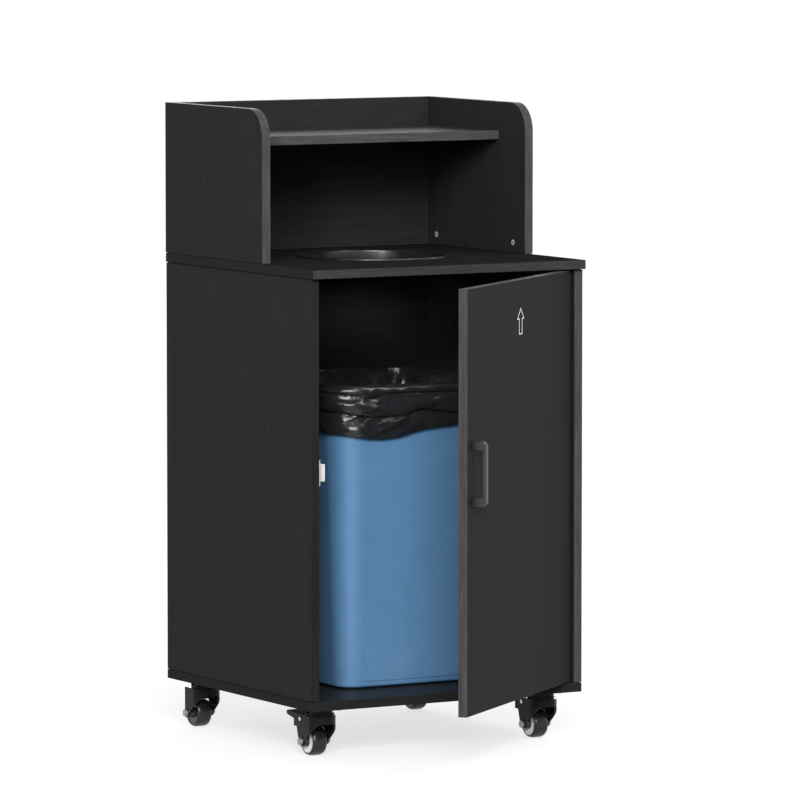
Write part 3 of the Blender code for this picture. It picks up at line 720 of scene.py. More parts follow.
def block(low: Sequence[float], high: Sequence[float]) -> Shape:
    """A box between two corners.

    Args:
        low: its lowest corner.
        high: its highest corner.

    Returns:
        Its geometry.
    """
    shape = bmesh.new()
    bmesh.ops.create_cube(shape, size=1.0)
    bmesh.ops.scale(shape, vec=Vector(high) - Vector(low), verts=shape.verts)
    bmesh.ops.translate(shape, vec=(Vector(high) + Vector(low)) / 2, verts=shape.verts)
    return shape


def round_edges(shape: Shape, width: float, segments: int = 3) -> Shape:
    """Round every crisp edge of a shape.

    Args:
        shape: geometry to change.
        width: size of the round.
        segments: steps across it.

    Returns:
        The same geometry.
    """
    folds = (edge for edge in shape.edges if edge.is_manifold)
    crisp = [edge for edge in folds if edge.calc_face_angle(0.0) > CRISP_ANGLE]
    bmesh.ops.bevel(
        shape, geom=crisp, offset=width, segments=segments, profile=0.5, affect="EDGES", clamp_overlap=True
    )
    return shape


def arc(centre: Point2, radius: float, start: float, end: float, steps: int) -> list[Point2]:
    """Points along an arc.

    Args:
        centre: its middle.
        radius: its radius.
        start: first angle in degrees.
        end: last angle in degrees.
        steps: number of steps.

    Returns:
        The points.
    """
    angles = [math.radians(start + (end - start) * step / steps) for step in range(steps + 1)]
    return [(centre[0] + radius * math.cos(a), centre[1] + radius * math.sin(a)) for a in angles]


def circle(centre: Point2, radius: float, steps: int) -> list[Point2]:
    """Points round a circle."""
    return arc(centre, radius, 0.0, 360.0 - 360.0 / steps, steps - 1)


def filleted(corners: Sequence[Point3], steps: int) -> list[Point2]:
    """Round the corners of a closed outline.

    Args:
        corners: x, y and round of each corner.
        steps: steps across each round.

    Returns:
        Points of the rounded outline.
    """
    points: list[Point2] = []
    count = len(corners)
    for index, (x, y, size) in enumerate(corners):
        here = Vector((x, y))
        if size <= 0.0:
            points.append((x, y))
            continue
        before = Vector(corners[index - 1][:2]) - here
        after = Vector(corners[(index + 1) % count][:2]) - here
        start = here + before.normalized() * size
        end = here + after.normalized() * size
        for step in range(steps + 1):
            share = step / steps
            first = start.lerp(here, share)
            second = here.lerp(end, share)
            points.append(tuple(first.lerp(second, share)))
    return points


def extruded(outline: Sequence[Point2], low: float, high: float, place: Place) -> Shape:
    """Extrude a flat outline.

    Args:
        outline: points of the outline.
        low: start of the extrusion.
        high: end of the extrusion.
        place: turns a, b and height into a point.

    Returns:
        The closed solid.
    """
    shape = bmesh.new()
    rings = [[shape.verts.new(place(a, b, height)) for a, b in outline] for height in (low, high)]
    shape.faces.new(rings[0])
    shape.faces.new(rings[1])
    skin(shape, rings)
    return shape


def skin(shape: Shape, rings: Sequence[Sequence[bmesh.types.BMVert]]) -> None:
    """Join closed rings of vertices one to the next with faces.

    Args:
        shape: geometry that holds the rings.
        rings: vertices of each ring, in step with each other.
    """
    for lower, upper in zip(rings[:-1], rings[1:]):
        count = len(lower)
        for index in range(count):
            after = (index + 1) % count
            shape.faces.new((lower[index], lower[after], upper[after], upper[index]))


def about(centre: Sequence[float], axis: Axis) -> Place:
    """A placing function for shapes made about an axis through a point.

    Args:
        centre: point on the axis.
        axis: direction of the axis.

    Returns:
        A function from two coordinates across the axis and one along it to a point.
    """
    cx, cy, cz = centre
    if axis is Axis.X:
        return lambda a, b, h: (cx + h, cy + a, cz + b)
    if axis is Axis.Y:
        return lambda a, b, h: (cx + b, cy + h, cz + a)
    return lambda a, b, h: (cx + a, cy + b, cz + h)


def softened(node: str, width: float, segments: int = 2) -> Shape:
    """The shape of a frame node with rounded edges.

    Args:
        node: node to copy.
        width: size of the round.
        segments: steps across the round.

    Returns:
        Its geometry.
    """
    shape = bmesh.new()
    shape.from_mesh(frame["nodes"][node].data)
    for face in shape.faces:
        face.material_index = 0
    bmesh.ops.remove_doubles(shape, verts=shape.verts, dist=MERGE)
    bmesh.ops.dissolve_limit(shape, angle_limit=FLAT_ANGLE, verts=shape.verts, edges=shape.edges)
    return round_edges(shape, width, segments)


def dress_node(node: str, name: str, body: str, finish: Finish, width: float, segments: int = 2) -> None:
    """Let a copy of a frame node with rounded edges stand for it.

    Args:
        node: node to copy and replace.
        name: name of the new piece.
        body: body that it moves with.
        finish: its finish.
        width: size of the round.
        segments: steps across the round.
    """
    shape = softened(node, width, segments)
    mount(even_normals(piece_from(name, shape, finish)), body, finish, node)


def joined(shapes: Iterable[Shape]) -> Shape:
    """Gather several shapes into one.

    Args:
        shapes: geometry, freed here.

    Returns:
        One bmesh with all of it.
    """
    whole = bmesh.new()
    for shape in shapes:
        bmesh.ops.recalc_face_normals(shape, faces=shape.faces)
        mesh = bpy.data.meshes.new("part")
        shape.to_mesh(mesh)
        shape.free()
        whole.from_mesh(mesh)
        bpy.data.meshes.remove(mesh)
    return whole


# Repeats made with geometry nodes


class NodeRecipe(Wiring):
    """A geometry node tree with named inputs that ends in Realize Instances and Set Material."""

    def __init__(self, name: str, geometry: str, **sizes: str) -> None:
        """Start the tree with its named inputs.

        Args:
            name: name of the tree.
            geometry: name of the geometry input.
            sizes: name and socket kind of each other input.
        """
        super().__init__(bpy.data.node_groups.new(name, "GeometryNodeTree"))
        face = self.tree.interface
        face.new_socket(geometry, in_out="INPUT", socket_type="NodeSocketGeometry")
        self.sockets = {
            label: face.new_socket(label, in_out="INPUT", socket_type=f"NodeSocket{kind}").identifier
            for label, kind in (*sizes.items(), ("Finish", "Material"))
        }
        face.new_socket("Pieces", in_out="OUTPUT", socket_type="NodeSocketGeometry")
        self.given = self.add("NodeGroupInput").outputs

    def close(self, made: Socket) -> None:
        """Make the result real, paint it and put it out.

        Args:
            made: socket with the geometry.
        """
        real = self.add("GeometryNodeRealizeInstances")
        paint = self.add("GeometryNodeSetMaterial")
        self.join(made, real.inputs["Geometry"])
        self.join(real.outputs["Geometry"], paint.inputs["Geometry"])
        self.join(self.given["Finish"], paint.inputs["Material"])
        self.join(paint.outputs["Geometry"], self.add("NodeGroupOutput").inputs["Pieces"])

    def run(self, obj: Piece, finish: Finish, **sizes: object) -> Piece:
        """Run the tree on an object and keep the result as its plain mesh.

        Args:
            obj: object whose mesh the tree starts from.
            finish: finish of the result.
            sizes: value of each named input.

        Returns:
            The same object.
        """
        modifier = obj.modifiers.new(self.tree.name, "NODES")
        modifier.node_group = self.tree
        for label, value in (*sizes.items(), ("Finish", finish.material())):
            modifier[self.sockets[label]] = value
        return bake(obj)


class SetOut(NodeRecipe):
    """Sets out copies of a small part at points that each say which way it faces."""

    def __init__(self) -> None:
        """Build the node tree."""
        super().__init__("set_out_parts", "Points", Part="Object", Size="Float")
        info = self.add("GeometryNodeObjectInfo", transform_space="ORIGINAL")
        facing = self.add("GeometryNodeInputNamedAttribute", data_type="FLOAT_VECTOR")
        facing.inputs["Name"].default_value = "facing"
        align = self.add("FunctionNodeAlignRotationToVector", axis="Z")
        place = self.add("GeometryNodeInstanceOnPoints")
        self.join(self.given["Part"], info.inputs["Object"])
        self.join(facing.outputs["Attribute"], align.inputs["Vector"])
        self.join(self.given["Points"], place.inputs["Points"])
        self.join(info.outputs["Geometry"], place.inputs["Instance"])
        self.join(align.outputs["Rotation"], place.inputs["Rotation"])
        self.join(self.given["Size"], place.inputs["Scale"])
        self.close(place.outputs["Instances"])

    def make(
        self, name: str, part: Shape, spots: Sequence[Spot], finish: Finish, size: float = 1.0
    ) -> Piece:
        """Set out copies of a part.

        Args:
            name: name of the piece that holds them all.
            part: the part, standing on the origin and facing +Z, freed here.
            spots: place and facing direction of each copy.
            finish: their finish.
            size: scale of the copies.

        Returns:
            One plain mesh piece, not yet mounted.
        """
        sample = piece_from(f"{name}_sample", part, finish)
        points = bpy.data.meshes.new(name)
        points.from_pydata([tuple(spot) for spot, _ in spots], [], [])
        attribute = points.attributes.new("facing", "FLOAT_VECTOR", "POINT")
        attribute.data.foreach_set("vector", [value for _, way in spots for value in way])
        obj = self.run(fresh_object(name, points), finish, Part=sample, Size=size)
        bpy.data.objects.remove(sample)
        return obj


class Spin(NodeRecipe):
    """Spins a closed section about an axis, for rings, tyres and hubs."""

    def __init__(self) -> None:
        """Build the node tree."""
        super().__init__("spin_section", "Section", Radius="Float", Steps="Int")
        section = self.add("GeometryNodeMeshToCurve")
        path = self.add("GeometryNodeCurvePrimitiveCircle", mode="RADIUS")
        sweep = self.add("GeometryNodeCurveToMesh")
        self.join(self.given["Section"], section.inputs["Mesh"])
        self.join(self.given["Radius"], path.inputs["Radius"])
        self.join(self.given["Steps"], path.inputs["Resolution"])
        self.join(path.outputs["Curve"], sweep.inputs["Curve"])
        self.join(section.outputs["Curve"], sweep.inputs["Profile Curve"])
        self.close(sweep.outputs["Mesh"])

    def make(
        self, name: str, profile: Sequence[Point2], steps: int, place: Place, *finishes: Finish
    ) -> Piece:
        """Spin a section that stays clear of its axis.

        Args:
            name: name of the piece.
            profile: radius and height of each point of the closed section.
            steps: facets round the axis.
            place: turns two coordinates across the axis and one along it into a point.
            finishes: one for each material index.

        Returns:
            One plain mesh piece, not yet mounted.
        """
        radius = max(r for r, _ in profile)
        count = len(profile)
        section = bpy.data.meshes.new(name)
        edges = [(index, (index + 1) % count) for index in range(count)]
        section.from_pydata([(r - radius, -h, 0.0) for r, h in profile], edges, [])
        obj = self.run(fresh_object(name, section), finishes[0], Radius=radius, Steps=steps)
        shape = bmesh.new()
        shape.from_mesh(obj.data)
        for vert in shape.verts:
            vert.co = place(*vert.co)
        shape.normal_update()
        bmesh.ops.recalc_face_normals(shape, faces=shape.faces)
        shape.to_mesh(obj.data)
        shape.free()
        smooth(obj.data)
        for finish in finishes[1:]:
            obj.data.materials.append(finish.material())
        return obj


SET_OUT = SetOut()
SPIN = Spin()


# Screws and discs


SCREW_RINGS = ((1.0, 0.0), (1.0, 0.35), (0.92, 0.70), (0.72, 0.95))
SCREW_CROSS = (0.16, 0.62)
SCREW_FLOOR = 0.45
SCREW_TAPER = 0.8
SCREW_STEPS = 20


def ring_edges(shape: Shape, ring: Sequence[bmesh.types.BMVert]) -> list[bmesh.types.BMEdge]:
    """The edges along a closed ring of vertices."""
    return [shape.edges.get((ring[i - 1], ring[i])) for i in range(len(ring))]


def crossed_head(
    section: Sequence[Point2], steps: int, arm: Point2, mouth: float, floor: float, taper: float = 1.0
) -> Shape:
    """A round head with a cross recess, facing +Z.

    Args:
        section: radius and height of each ring, from the foot up.
        steps: facets round the head.
        arm: half width and reach of each arm of the cross.
        mouth: height of the recess's mouth.
        floor: height of its floor.
        taper: size of the floor against the mouth.

    Returns:
        Its geometry.
    """
    shape = bmesh.new()
    rings = [
        [shape.verts.new((x, y, height)) for x, y in circle((0.0, 0.0), radius, steps)]
        for radius, height in section
    ]
    skin(shape, rings)
    shape.faces.new(rings[0])
    wide, far = arm
    cross = []
    for quarter in range(4):
        turn = Matrix.Rotation(math.tau * quarter / 4, 2)
        cross += [turn @ Vector(point) for point in ((wide, wide), (wide, far), (-wide, far))]
    top = [shape.verts.new((*point, mouth)) for point in cross]
    foot = [shape.verts.new((*(point * taper), floor)) for point in cross]
    skin(shape, [top, foot])
    shape.faces.new(foot)
    bmesh.ops.bridge_loops(shape, edges=ring_edges(shape, rings[-1]) + ring_edges(shape, top))
    return shape


def set_screws(
    name: str, screw: Point2, spots: Sequence[Spot], finish: Finish, body: str, *nodes: str
) -> None:
    """Set out pan-head screws with a cross recess and mount them.

    Args:
        name: name of the piece that holds them all.
        screw: radius and height of a head.
        spots: place and facing direction of each screw.
        finish: their finish.
        body: body that they move with.
        nodes: nodes that they replace.
    """
    radius, height = screw
    tall = height / radius
    section = [(share, level * tall) for share, level in SCREW_RINGS]
    head = crossed_head(section, SCREW_STEPS, SCREW_CROSS, tall, SCREW_FLOOR * tall, SCREW_TAPER)
    mount(SET_OUT.make(name, head, spots, finish, radius), body, finish, *nodes)


# Boards


@dataclass
class Board:
    """A melamine panel with banded edges that stands for one node of the frame."""

    node: str
    name: str
    thin: Axis
    run: GrainRun
    # dark picks the darker banding, which is painted shade on edges that lie in shade.
    dark: bool = False
    face: Finish | None = None
    front: Finish | None = None
    foot_seam: float = 0.0
    top_seam: float = 0.0
    tongue_inset: float = 0.0020
    round: float = 0.0008
    corner: float = 0.0
    corner_steps: int = 20
    holes: list[tuple[Vector, float]] = field(default_factory=list)
    hole_steps: int = 96
    drill_reach: float = 0.05

    def outline(self, low: Vector, high: Vector) -> Shape:
        """The panel's solid, with its upper front corner rounded where it has one.

        Args:
            low: lowest corner of the node.
            high: highest corner of the node.

        Returns:
            Its geometry.
        """
        if self.corner <= 0.0:
            return block(low, high)
        points = [(high.y, low.z), (high.y, high.z)]
        centre = (low.y + self.corner, high.z - self.corner)
        points += arc(centre, self.corner, 90, 180, self.corner_steps)
        points.append((low.y, low.z))
        return extruded(points, low.x, high.x, about(ORIGIN, Axis.X))

    def build(self) -> Piece:
        """Make the panel and mount it on the cabinet.

        Returns:
            The piece.
        """
        low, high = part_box(self.node)
        foot = low + Vector((0.0, 0.0, self.foot_seam))
        top = high - Vector((0.0, 0.0, self.top_seam))
        shape = round_edges(self.outline(foot, top), self.round)
        if self.foot_seam > 0.0:
            shape = joined([shape, *self.tongues(low, high)])
        # The darker banding is painted shade on edges that lie in shade.
        edge = (SHADED_EDGE_BANDING if self.dark else BANDING)[self.run]
        face = self.face or BOARD_FACES[self.run]
        obj = piece_from(self.name, shape, face, edge, self.front or edge)
        carve(obj, [self.drill(centre, radius) for centre, radius in self.holes])
        self.dress(obj)
        return mount(even_normals(obj), "cabinet", face, self.node)

    def tongues(self, low: Vector, high: Vector) -> list[Shape]:
        """Narrow tongues that close the shadow seams at the panel's foot and top.

        Args:
            low: lowest corner of the node.
            high: highest corner of the node.

        Returns:
            Their geometry.
        """
        inset = Vector((self.tongue_inset, self.tongue_inset, 0.0))
        reach = Vector((0.0, 0.0, self.tongue_inset + self.foot_seam))
        made = [block(low + inset, Vector((high.x, high.y, low.z)) - inset + reach)]
        if self.top_seam > 0.0:
            made.append(block(Vector((low.x, low.y, high.z)) + inset - reach, high - inset))
        return made

    def drill(self, centre: Vector, radius: float) -> Shape:
        """A round cutter through the panel.

        Args:
            centre: middle of the hole.
            radius: its radius.

        Returns:
            The cutter's geometry.
        """
        outline = circle((centre.x, centre.y), radius, self.hole_steps)
        reach = self.drill_reach
        return extruded(outline, centre.z - reach, centre.z + reach, about(ORIGIN, Axis.Z))

    def dress(self, obj: Piece) -> None:
        """Give the wide faces the melamine and the edges their banding.

        Args:
            obj: the panel, with its face, edge and front edge finishes in that order.
        """
        for face in obj.data.polygons:
            edge = 2 if face.normal.y < -SQUARE_ON else 1
            face.material_index = 0 if abs(face.normal[self.thin.value]) > SQUARE_ON else edge


@dataclass
class Carcass:
    """Bottom, sides, back and counter, and the upper shelf unit on it."""

    hutch_corner: float = 0.050
    ring_flange: float = 0.0125
    seam: float = 0.0012

    def build(self) -> None:
        """Make every fixed panel."""
        ring_low, ring_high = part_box("drop_ring")
        hole = (ring_high.x - ring_low.x) / 2 - self.ring_flange
        centre = (ring_low + ring_high) / 2
        side_seams = {"foot_seam": self.seam / 2, "top_seam": self.seam}
        hutch_sides = {"foot_seam": self.seam / 2, "corner": self.hutch_corner}
        # dark=True gives the bottom, the left side and the counter the darker banding, painted shade on their
        # edges.
        boards = (
            Board("bottom_panel", "bottom_board", Axis.Z, GrainRun.ACROSS, dark=True, face=FLOOR_FACE),
            Board("left_side_panel", "left_board", Axis.X, GrainRun.UPRIGHT, dark=True, **side_seams),
            Board("right_side_panel", "right_board", Axis.X, GrainRun.UPRIGHT, **side_seams),
            Board("back_panel", "back_board", Axis.Y, GrainRun.ACROSS, face=SHADED_BACK_FACE),
            # The counter's face and front finishes are painted shade: darker copies of the melamine and the
            # banding.
            Board(
                "countertop", "counter_board", Axis.Z, GrainRun.ACROSS, dark=True,
                face=SHADED_COUNTER_FACE, front=SHADED_COUNTER_FRONT, holes=[(centre, hole)],
            ),
            Board("hutch_left_panel", "hutch_left_board", Axis.X, GrainRun.UPRIGHT, **hutch_sides),
            Board("hutch_right_panel", "hutch_right_board", Axis.X, GrainRun.UPRIGHT, **hutch_sides),
            Board("hutch_back_panel", "hutch_back_board", Axis.Y, GrainRun.ACROSS),
            Board("hutch_shelf", "shelf_board", Axis.Z, GrainRun.ACROSS),
        )
        for board in boards:
            board.build()


@dataclass
class CamLocks:
    """Cam-lock discs on the inner faces of the shelf unit's sides, which they hold to the counter."""

    radius: float = 0.0051
    proud: float = 0.0006
    sink: float = 0.0012
    steps: int = 32
    rise: float = 0.0186
    front_inset: float = 0.0414
    back_inset: float = 0.0463
    slot_wide: float = 0.0008
    slot_long: float = 0.0036

    def disc(self) -> Shape:
        """One disc with its cross slot, facing +Z.

        Returns:
            Its geometry.
        """
        shares = ((1.0, 0.0), (1.0, 0.7), (0.94, 1.0), (0.82, 1.0))
        section = [(self.radius * share, self.proud * level) for share, level in shares]
        arm = (self.slot_wide, self.slot_long)
        return crossed_head(section, self.steps, arm, mouth=self.proud, floor=self.proud - self.sink)

    def build(self) -> None:
        """Set the discs out on both sides."""
        spots = []
        for node, way in (("hutch_left_panel", 1.0), ("hutch_right_panel", -1.0)):
            low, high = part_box(node)
            face = high.x if way > 0 else low.x
            for y in (low.y + self.front_inset, high.y - self.back_inset):
                spots.append((Vector((face, y, low.z + self.rise)), Vector((way, 0.0, 0.0))))
        mount(SET_OUT.make("cam_locks", self.disc(), spots, PALE_ZINC), "cabinet", PALE_ZINC)


@dataclass
class CounterRing:
    """Moulded ring that lines the drop hole in the counter."""

    flange: float = 0.0125
    rise: float = 0.0040
    seat: float = 0.0003
    wall: float = 0.0030
    shoulder: float = 0.0002
    roll: float = 0.0040
    mouth_out: float = 0.0012
    mouth_down: float = 0.0006
    rim_round: float = 0.0022
    roll_round: float = 0.0015
    mouth_round: float = 0.0028
    foot_round: float = 0.0010
    crease: float = 0.0004
    round_steps: int = 6
    steps: int = 160

    def build(self) -> None:
        """Make the ring with a rolled rim and a flared mouth."""
        low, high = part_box("drop_ring")
        centre = (low + high) / 2
        outer = (high.x - low.x) / 2
        top = high.z
        foot = top - self.rise
        sleeve = outer - self.flange - self.seat
        bore = sleeve - self.wall
        corners = (
            (outer, foot, self.crease),
            (outer, top - self.shoulder, self.rim_round),
            (outer - self.roll, top, self.roll_round),
            (bore + self.mouth_out, top - self.mouth_down, self.mouth_round),
            (bore, low.z, self.foot_round),
            (sleeve, low.z, self.foot_round),
            (sleeve, foot, self.crease),
        )
        place = about((centre.x, centre.y, 0.0), Axis.Z)
        profile = filleted(corners, self.round_steps)
        ring = SPIN.make("counter_ring", profile, self.steps, place, RING_PLASTIC)
        mount(ring, "cabinet", RING_PLASTIC, "drop_ring")


# Door


@dataclass
class DoorFrame:
    """Places on the part-open door, measured from its hinge pin line with the door's own axes."""

    angle: float = math.radians(38.5)
    pin_in: float = 0.013
    pin_back: float = 0.010

    def __post_init__(self) -> None:
        """Find the pin line in the frame."""
        joint = next(joint for joint in frame["joints"] if joint["name"] == "door_swing")
        x, y, _ = joint["pos_m"]
        self.matrix = Matrix.Translation((x, y, 0.0)) @ Matrix.Rotation(self.angle, 4, "Z")

    def local(self, inward: float, back: float, height: float) -> Vector:
        """A point of the closed door in the pin line's axes."""
        return Vector((self.pin_in - inward, back - self.pin_back, height))

    def point(self, inward: float, back: float, height: float) -> Vector:
        """A point of the door as it stands, from its hinge edge, its face and the floor."""
        return self.matrix @ self.local(inward, back, height)

    def way(self, x: float, y: float, z: float) -> Vector:
        """A direction of the door as it stands."""
        return self.matrix.to_3x3() @ Vector((x, y, z))


def inset(outline: Sequence[Point2], amount: float) -> list[Point2]:
    """Move every side of a closed clockwise outline inwards.

    Args:
        outline: points of the outline, in clockwise order.
        amount: distance to move each side.

    Returns:
        The inner outline.
    """
    points = [Vector(point) for point in outline]
    moved = []
    for index, here in enumerate(points):
        before = (here - points[index - 1]).normalized()
        after = (points[(index + 1) % len(points)] - here).normalized()
        first = Vector((before.y, -before.x))
        second = Vector((after.y, -after.x))
        middle = (first + second).normalized()
        moved.append(tuple(here + middle * (amount / max(SHARPEST, middle.dot(first)))))
    return moved


@dataclass
class Door:
    """Door panel with its handle, strike plate and the plain arrow printed on its face."""

    where: DoorFrame
    width: float = 0.507
    board: float = 0.016
    round: float = 0.0008
    cup_in: float = 0.022
    cup_radius: float = 0.0178
    cup_sink: float = 0.0118
    cup_steps: int = 48
    pull_in: float = 0.028
    pull_round: float = 0.0011
    pull_screw: Point2 = (0.0043, 0.0026)
    strike_round: float = 0.0003
    arrow_in: float = 0.2516
    arrow_height: float = 0.7584
    arrow_tall: float = 0.0457
    arrow_wide: float = 0.0340
    arrow_shaft: float = 0.0154
    arrow_head: float = 0.0196
    arrow_line: float = 0.0018
    print_lift: float = 0.00012

    def build(self) -> None:
        """Make every piece of the door."""
        self.build_panel()
        self.build_arrow()
        dress_node("door_handle", "door_pull", "door", POWDER_COAT, self.pull_round, 3)
        dress_node("strike_plate", "door_strike", "door", ZINC, self.strike_round)
        self.build_screws()

    def build_panel(self) -> None:
        """Make the panel with its two cup recesses."""
        low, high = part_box("door_panel")
        shape = block(self.where.local(self.width, 0.0, low.z), self.where.local(0.0, self.board, high.z))
        round_edges(shape, self.round)
        obj = piece_from("door_board", shape, BOARD_FACES[GrainRun.UPRIGHT], BANDING[GrainRun.UPRIGHT])
        carve(obj, [self.cup_cutter(name) for name in ("lower", "upper")])
        for face in obj.data.polygons:
            face.material_index = 0 if abs(face.normal.y) > SQUARE_ON else 1
        obj.data.transform(self.where.matrix)
        mount(even_normals(obj), "door", BOARD_FACES[GrainRun.UPRIGHT], "door_panel")

    def cup_cutter(self, name: str) -> Shape:
        """A cutter for one hinge cup's recess.

        Args:
            name: which hinge.

        Returns:
            The cutter's geometry.
        """
        low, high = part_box(f"{name}_hinge_cup")
        centre = self.where.local(self.cup_in, 0.0, (low.z + high.z) / 2)
        face = self.where.local(0.0, self.board, 0.0).y
        outline = circle((centre.z, centre.x), self.cup_radius, self.cup_steps)
        return extruded(outline, face - self.cup_sink, face + self.board, about(ORIGIN, Axis.Y))

    def build_arrow(self) -> None:
        """Print a plain outlined arrow that points up to the drop hole."""
        half = self.arrow_wide / 2
        stem = self.arrow_shaft / 2
        tall = self.arrow_tall / 2
        neck = tall - self.arrow_head
        right = [(half, neck), (stem, neck), (stem, -tall)]
        outline = [(0.0, tall), *right, *((-x, z) for x, z in reversed(right))]
        shape = bmesh.new()
        inner = inset(outline, self.arrow_line)
        rings = []
        for lift in (0.0, self.print_lift):
            for path in (outline, inner):
                points = [self.where.point(self.arrow_in - x, -lift, self.arrow_height + z) for x, z in path]
                rings.append([shape.verts.new(point) for point in points])
        skin(shape, [rings[0], rings[2], rings[3], rings[1], rings[0]])
        mount(piece_from("door_arrow", shape, PRINT_WHITE), "door", PRINT_WHITE)

    def build_screws(self) -> None:
        """Dress the heads of the handle's screws."""
        back = self.where.way(0.0, 1.0, 0.0)
        spots = []
        for name in ("lower", "upper"):
            low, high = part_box(f"{name}_handle_screw")
            height = (low.z + high.z) / 2
            spots.append((self.where.point(self.width - self.pull_in, self.board, height), back))
        nodes = ("lower_handle_screw", "upper_handle_screw")
        set_screws("handle_screw_heads", self.pull_screw, spots, ZINC, "door", *nodes)


@dataclass
class Catch:
    """Magnetic catch on the left side panel."""

    round: float = 0.0009
    magnet_round: float = 0.0004
    screw_drop: float = 0.0188
    screw_reach: float = 0.0125
    screw: Point2 = (0.0028, 0.0016)

    def build(self) -> None:
        """Make the housing, its magnet and its screws."""
        dress_node("magnetic_catch", "catch_housing", "cabinet", CATCH_WHITE, self.round, 3)
        dress_node("catch_magnet", "catch_magnet_bar", "cabinet", MAGNET, self.magnet_round)
        low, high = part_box("magnetic_catch")
        middle = (low + high) / 2
        x = low.x + self.screw_reach
        heights = (middle.z - self.screw_drop, middle.z + self.screw_drop)
        spots = [(Vector((x, middle.y, z)), Vector((1.0, 0.0, 0.0))) for z in heights]
        set_screws("catch_screws", self.screw, spots, ZINC, "cabinet")


@dataclass
class Hinges:
    """The two concealed hinges, with their fixing and adjusting screws."""

    where: DoorFrame
    names: tuple[str, ...] = ("lower", "upper")
    pressings: tuple[tuple[str, str, float], ...] = (
        ("hinge_plate", "cabinet", 0.0005),
        ("hinge_arm", "cabinet", 0.0006),
        ("hinge_link", "hinge_links", 0.0003),
        ("hinge_cup", "door", 0.0003),
    )
    pins: tuple[tuple[str, str], ...] = (("arm_pin", "cabinet"), ("cup_pin", "door"))
    pin_round: float = 0.0002
    plate_reach: float = 0.016
    plate_screw: Point2 = (0.0042, 0.0022)
    arm_in: float = 0.0270
    arm_shares: Point2 = (0.45, 0.80)
    arm_screw: Point2 = (0.0032, 0.0014)
    cup_in: float = 0.022
    cup_top: float = 0.0175
    ear_reach: float = 0.0245
    ear_screw: Point2 = (0.0035, 0.0018)

    def build(self) -> None:
        """Dress both hinges and set out their screws."""
        for name in self.names:
            for part, body, width in self.pressings:
                node = f"{name}_{part}"
                dress_node(node, f"{node}_body", body, NICKEL, width)
            for part, body in self.pins:
                node = f"{name}_{part}"
                dress_node(node, f"{node}_rod", body, ZINC, self.pin_round)
        for screws, size, spots, body in (
            ("hinge_plate_screws", self.plate_screw, self.plate_spots, "cabinet"),
            ("hinge_arm_screws", self.arm_screw, self.arm_spots, "cabinet"),
            ("hinge_cup_screws", self.ear_screw, self.ear_spots, "door"),
        ):
            set_screws(screws, size, [spot for name in self.names for spot in spots(name)], ZINC, body)

    def plate_spots(self, name: str) -> list[Spot]:
        """Where the screws of one mounting plate go.

        Args:
            name: which hinge.

        Returns:
            Place and facing direction of each screw.
        """
        low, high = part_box(f"{name}_hinge_plate")
        middle = (low + high) / 2
        heights = (middle.z - self.plate_reach, middle.z + self.plate_reach)
        return [(Vector((low.x, middle.y, z)), Vector((-1.0, 0.0, 0.0))) for z in heights]

    def arm_spots(self, name: str) -> list[Spot]:
        """Where the adjusting screws of one arm go.

        Args:
            name: which hinge.

        Returns:
            Place and facing direction of each screw.
        """
        low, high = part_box(f"{name}_hinge_arm")
        x = low.x + self.arm_in
        z = (low.z + high.z) / 2
        depths = [low.y + (high.y - low.y) * share for share in self.arm_shares]
        return [(Vector((x, y, z)), Vector((-1.0, 0.0, 0.0))) for y in depths]

    def ear_spots(self, name: str) -> list[Spot]:
        """Where the screws in the ears of one cup go.

        Args:
            name: which hinge.

        Returns:
            Place and facing direction of each screw.
        """
        low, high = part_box(f"{name}_hinge_cup")
        middle = (low.z + high.z) / 2
        back = self.where.way(0.0, 1.0, 0.0)
        heights = (middle - self.ear_reach, middle + self.ear_reach)
        return [(self.where.point(self.cup_in, self.cup_top, z), back) for z in heights]


# Casters


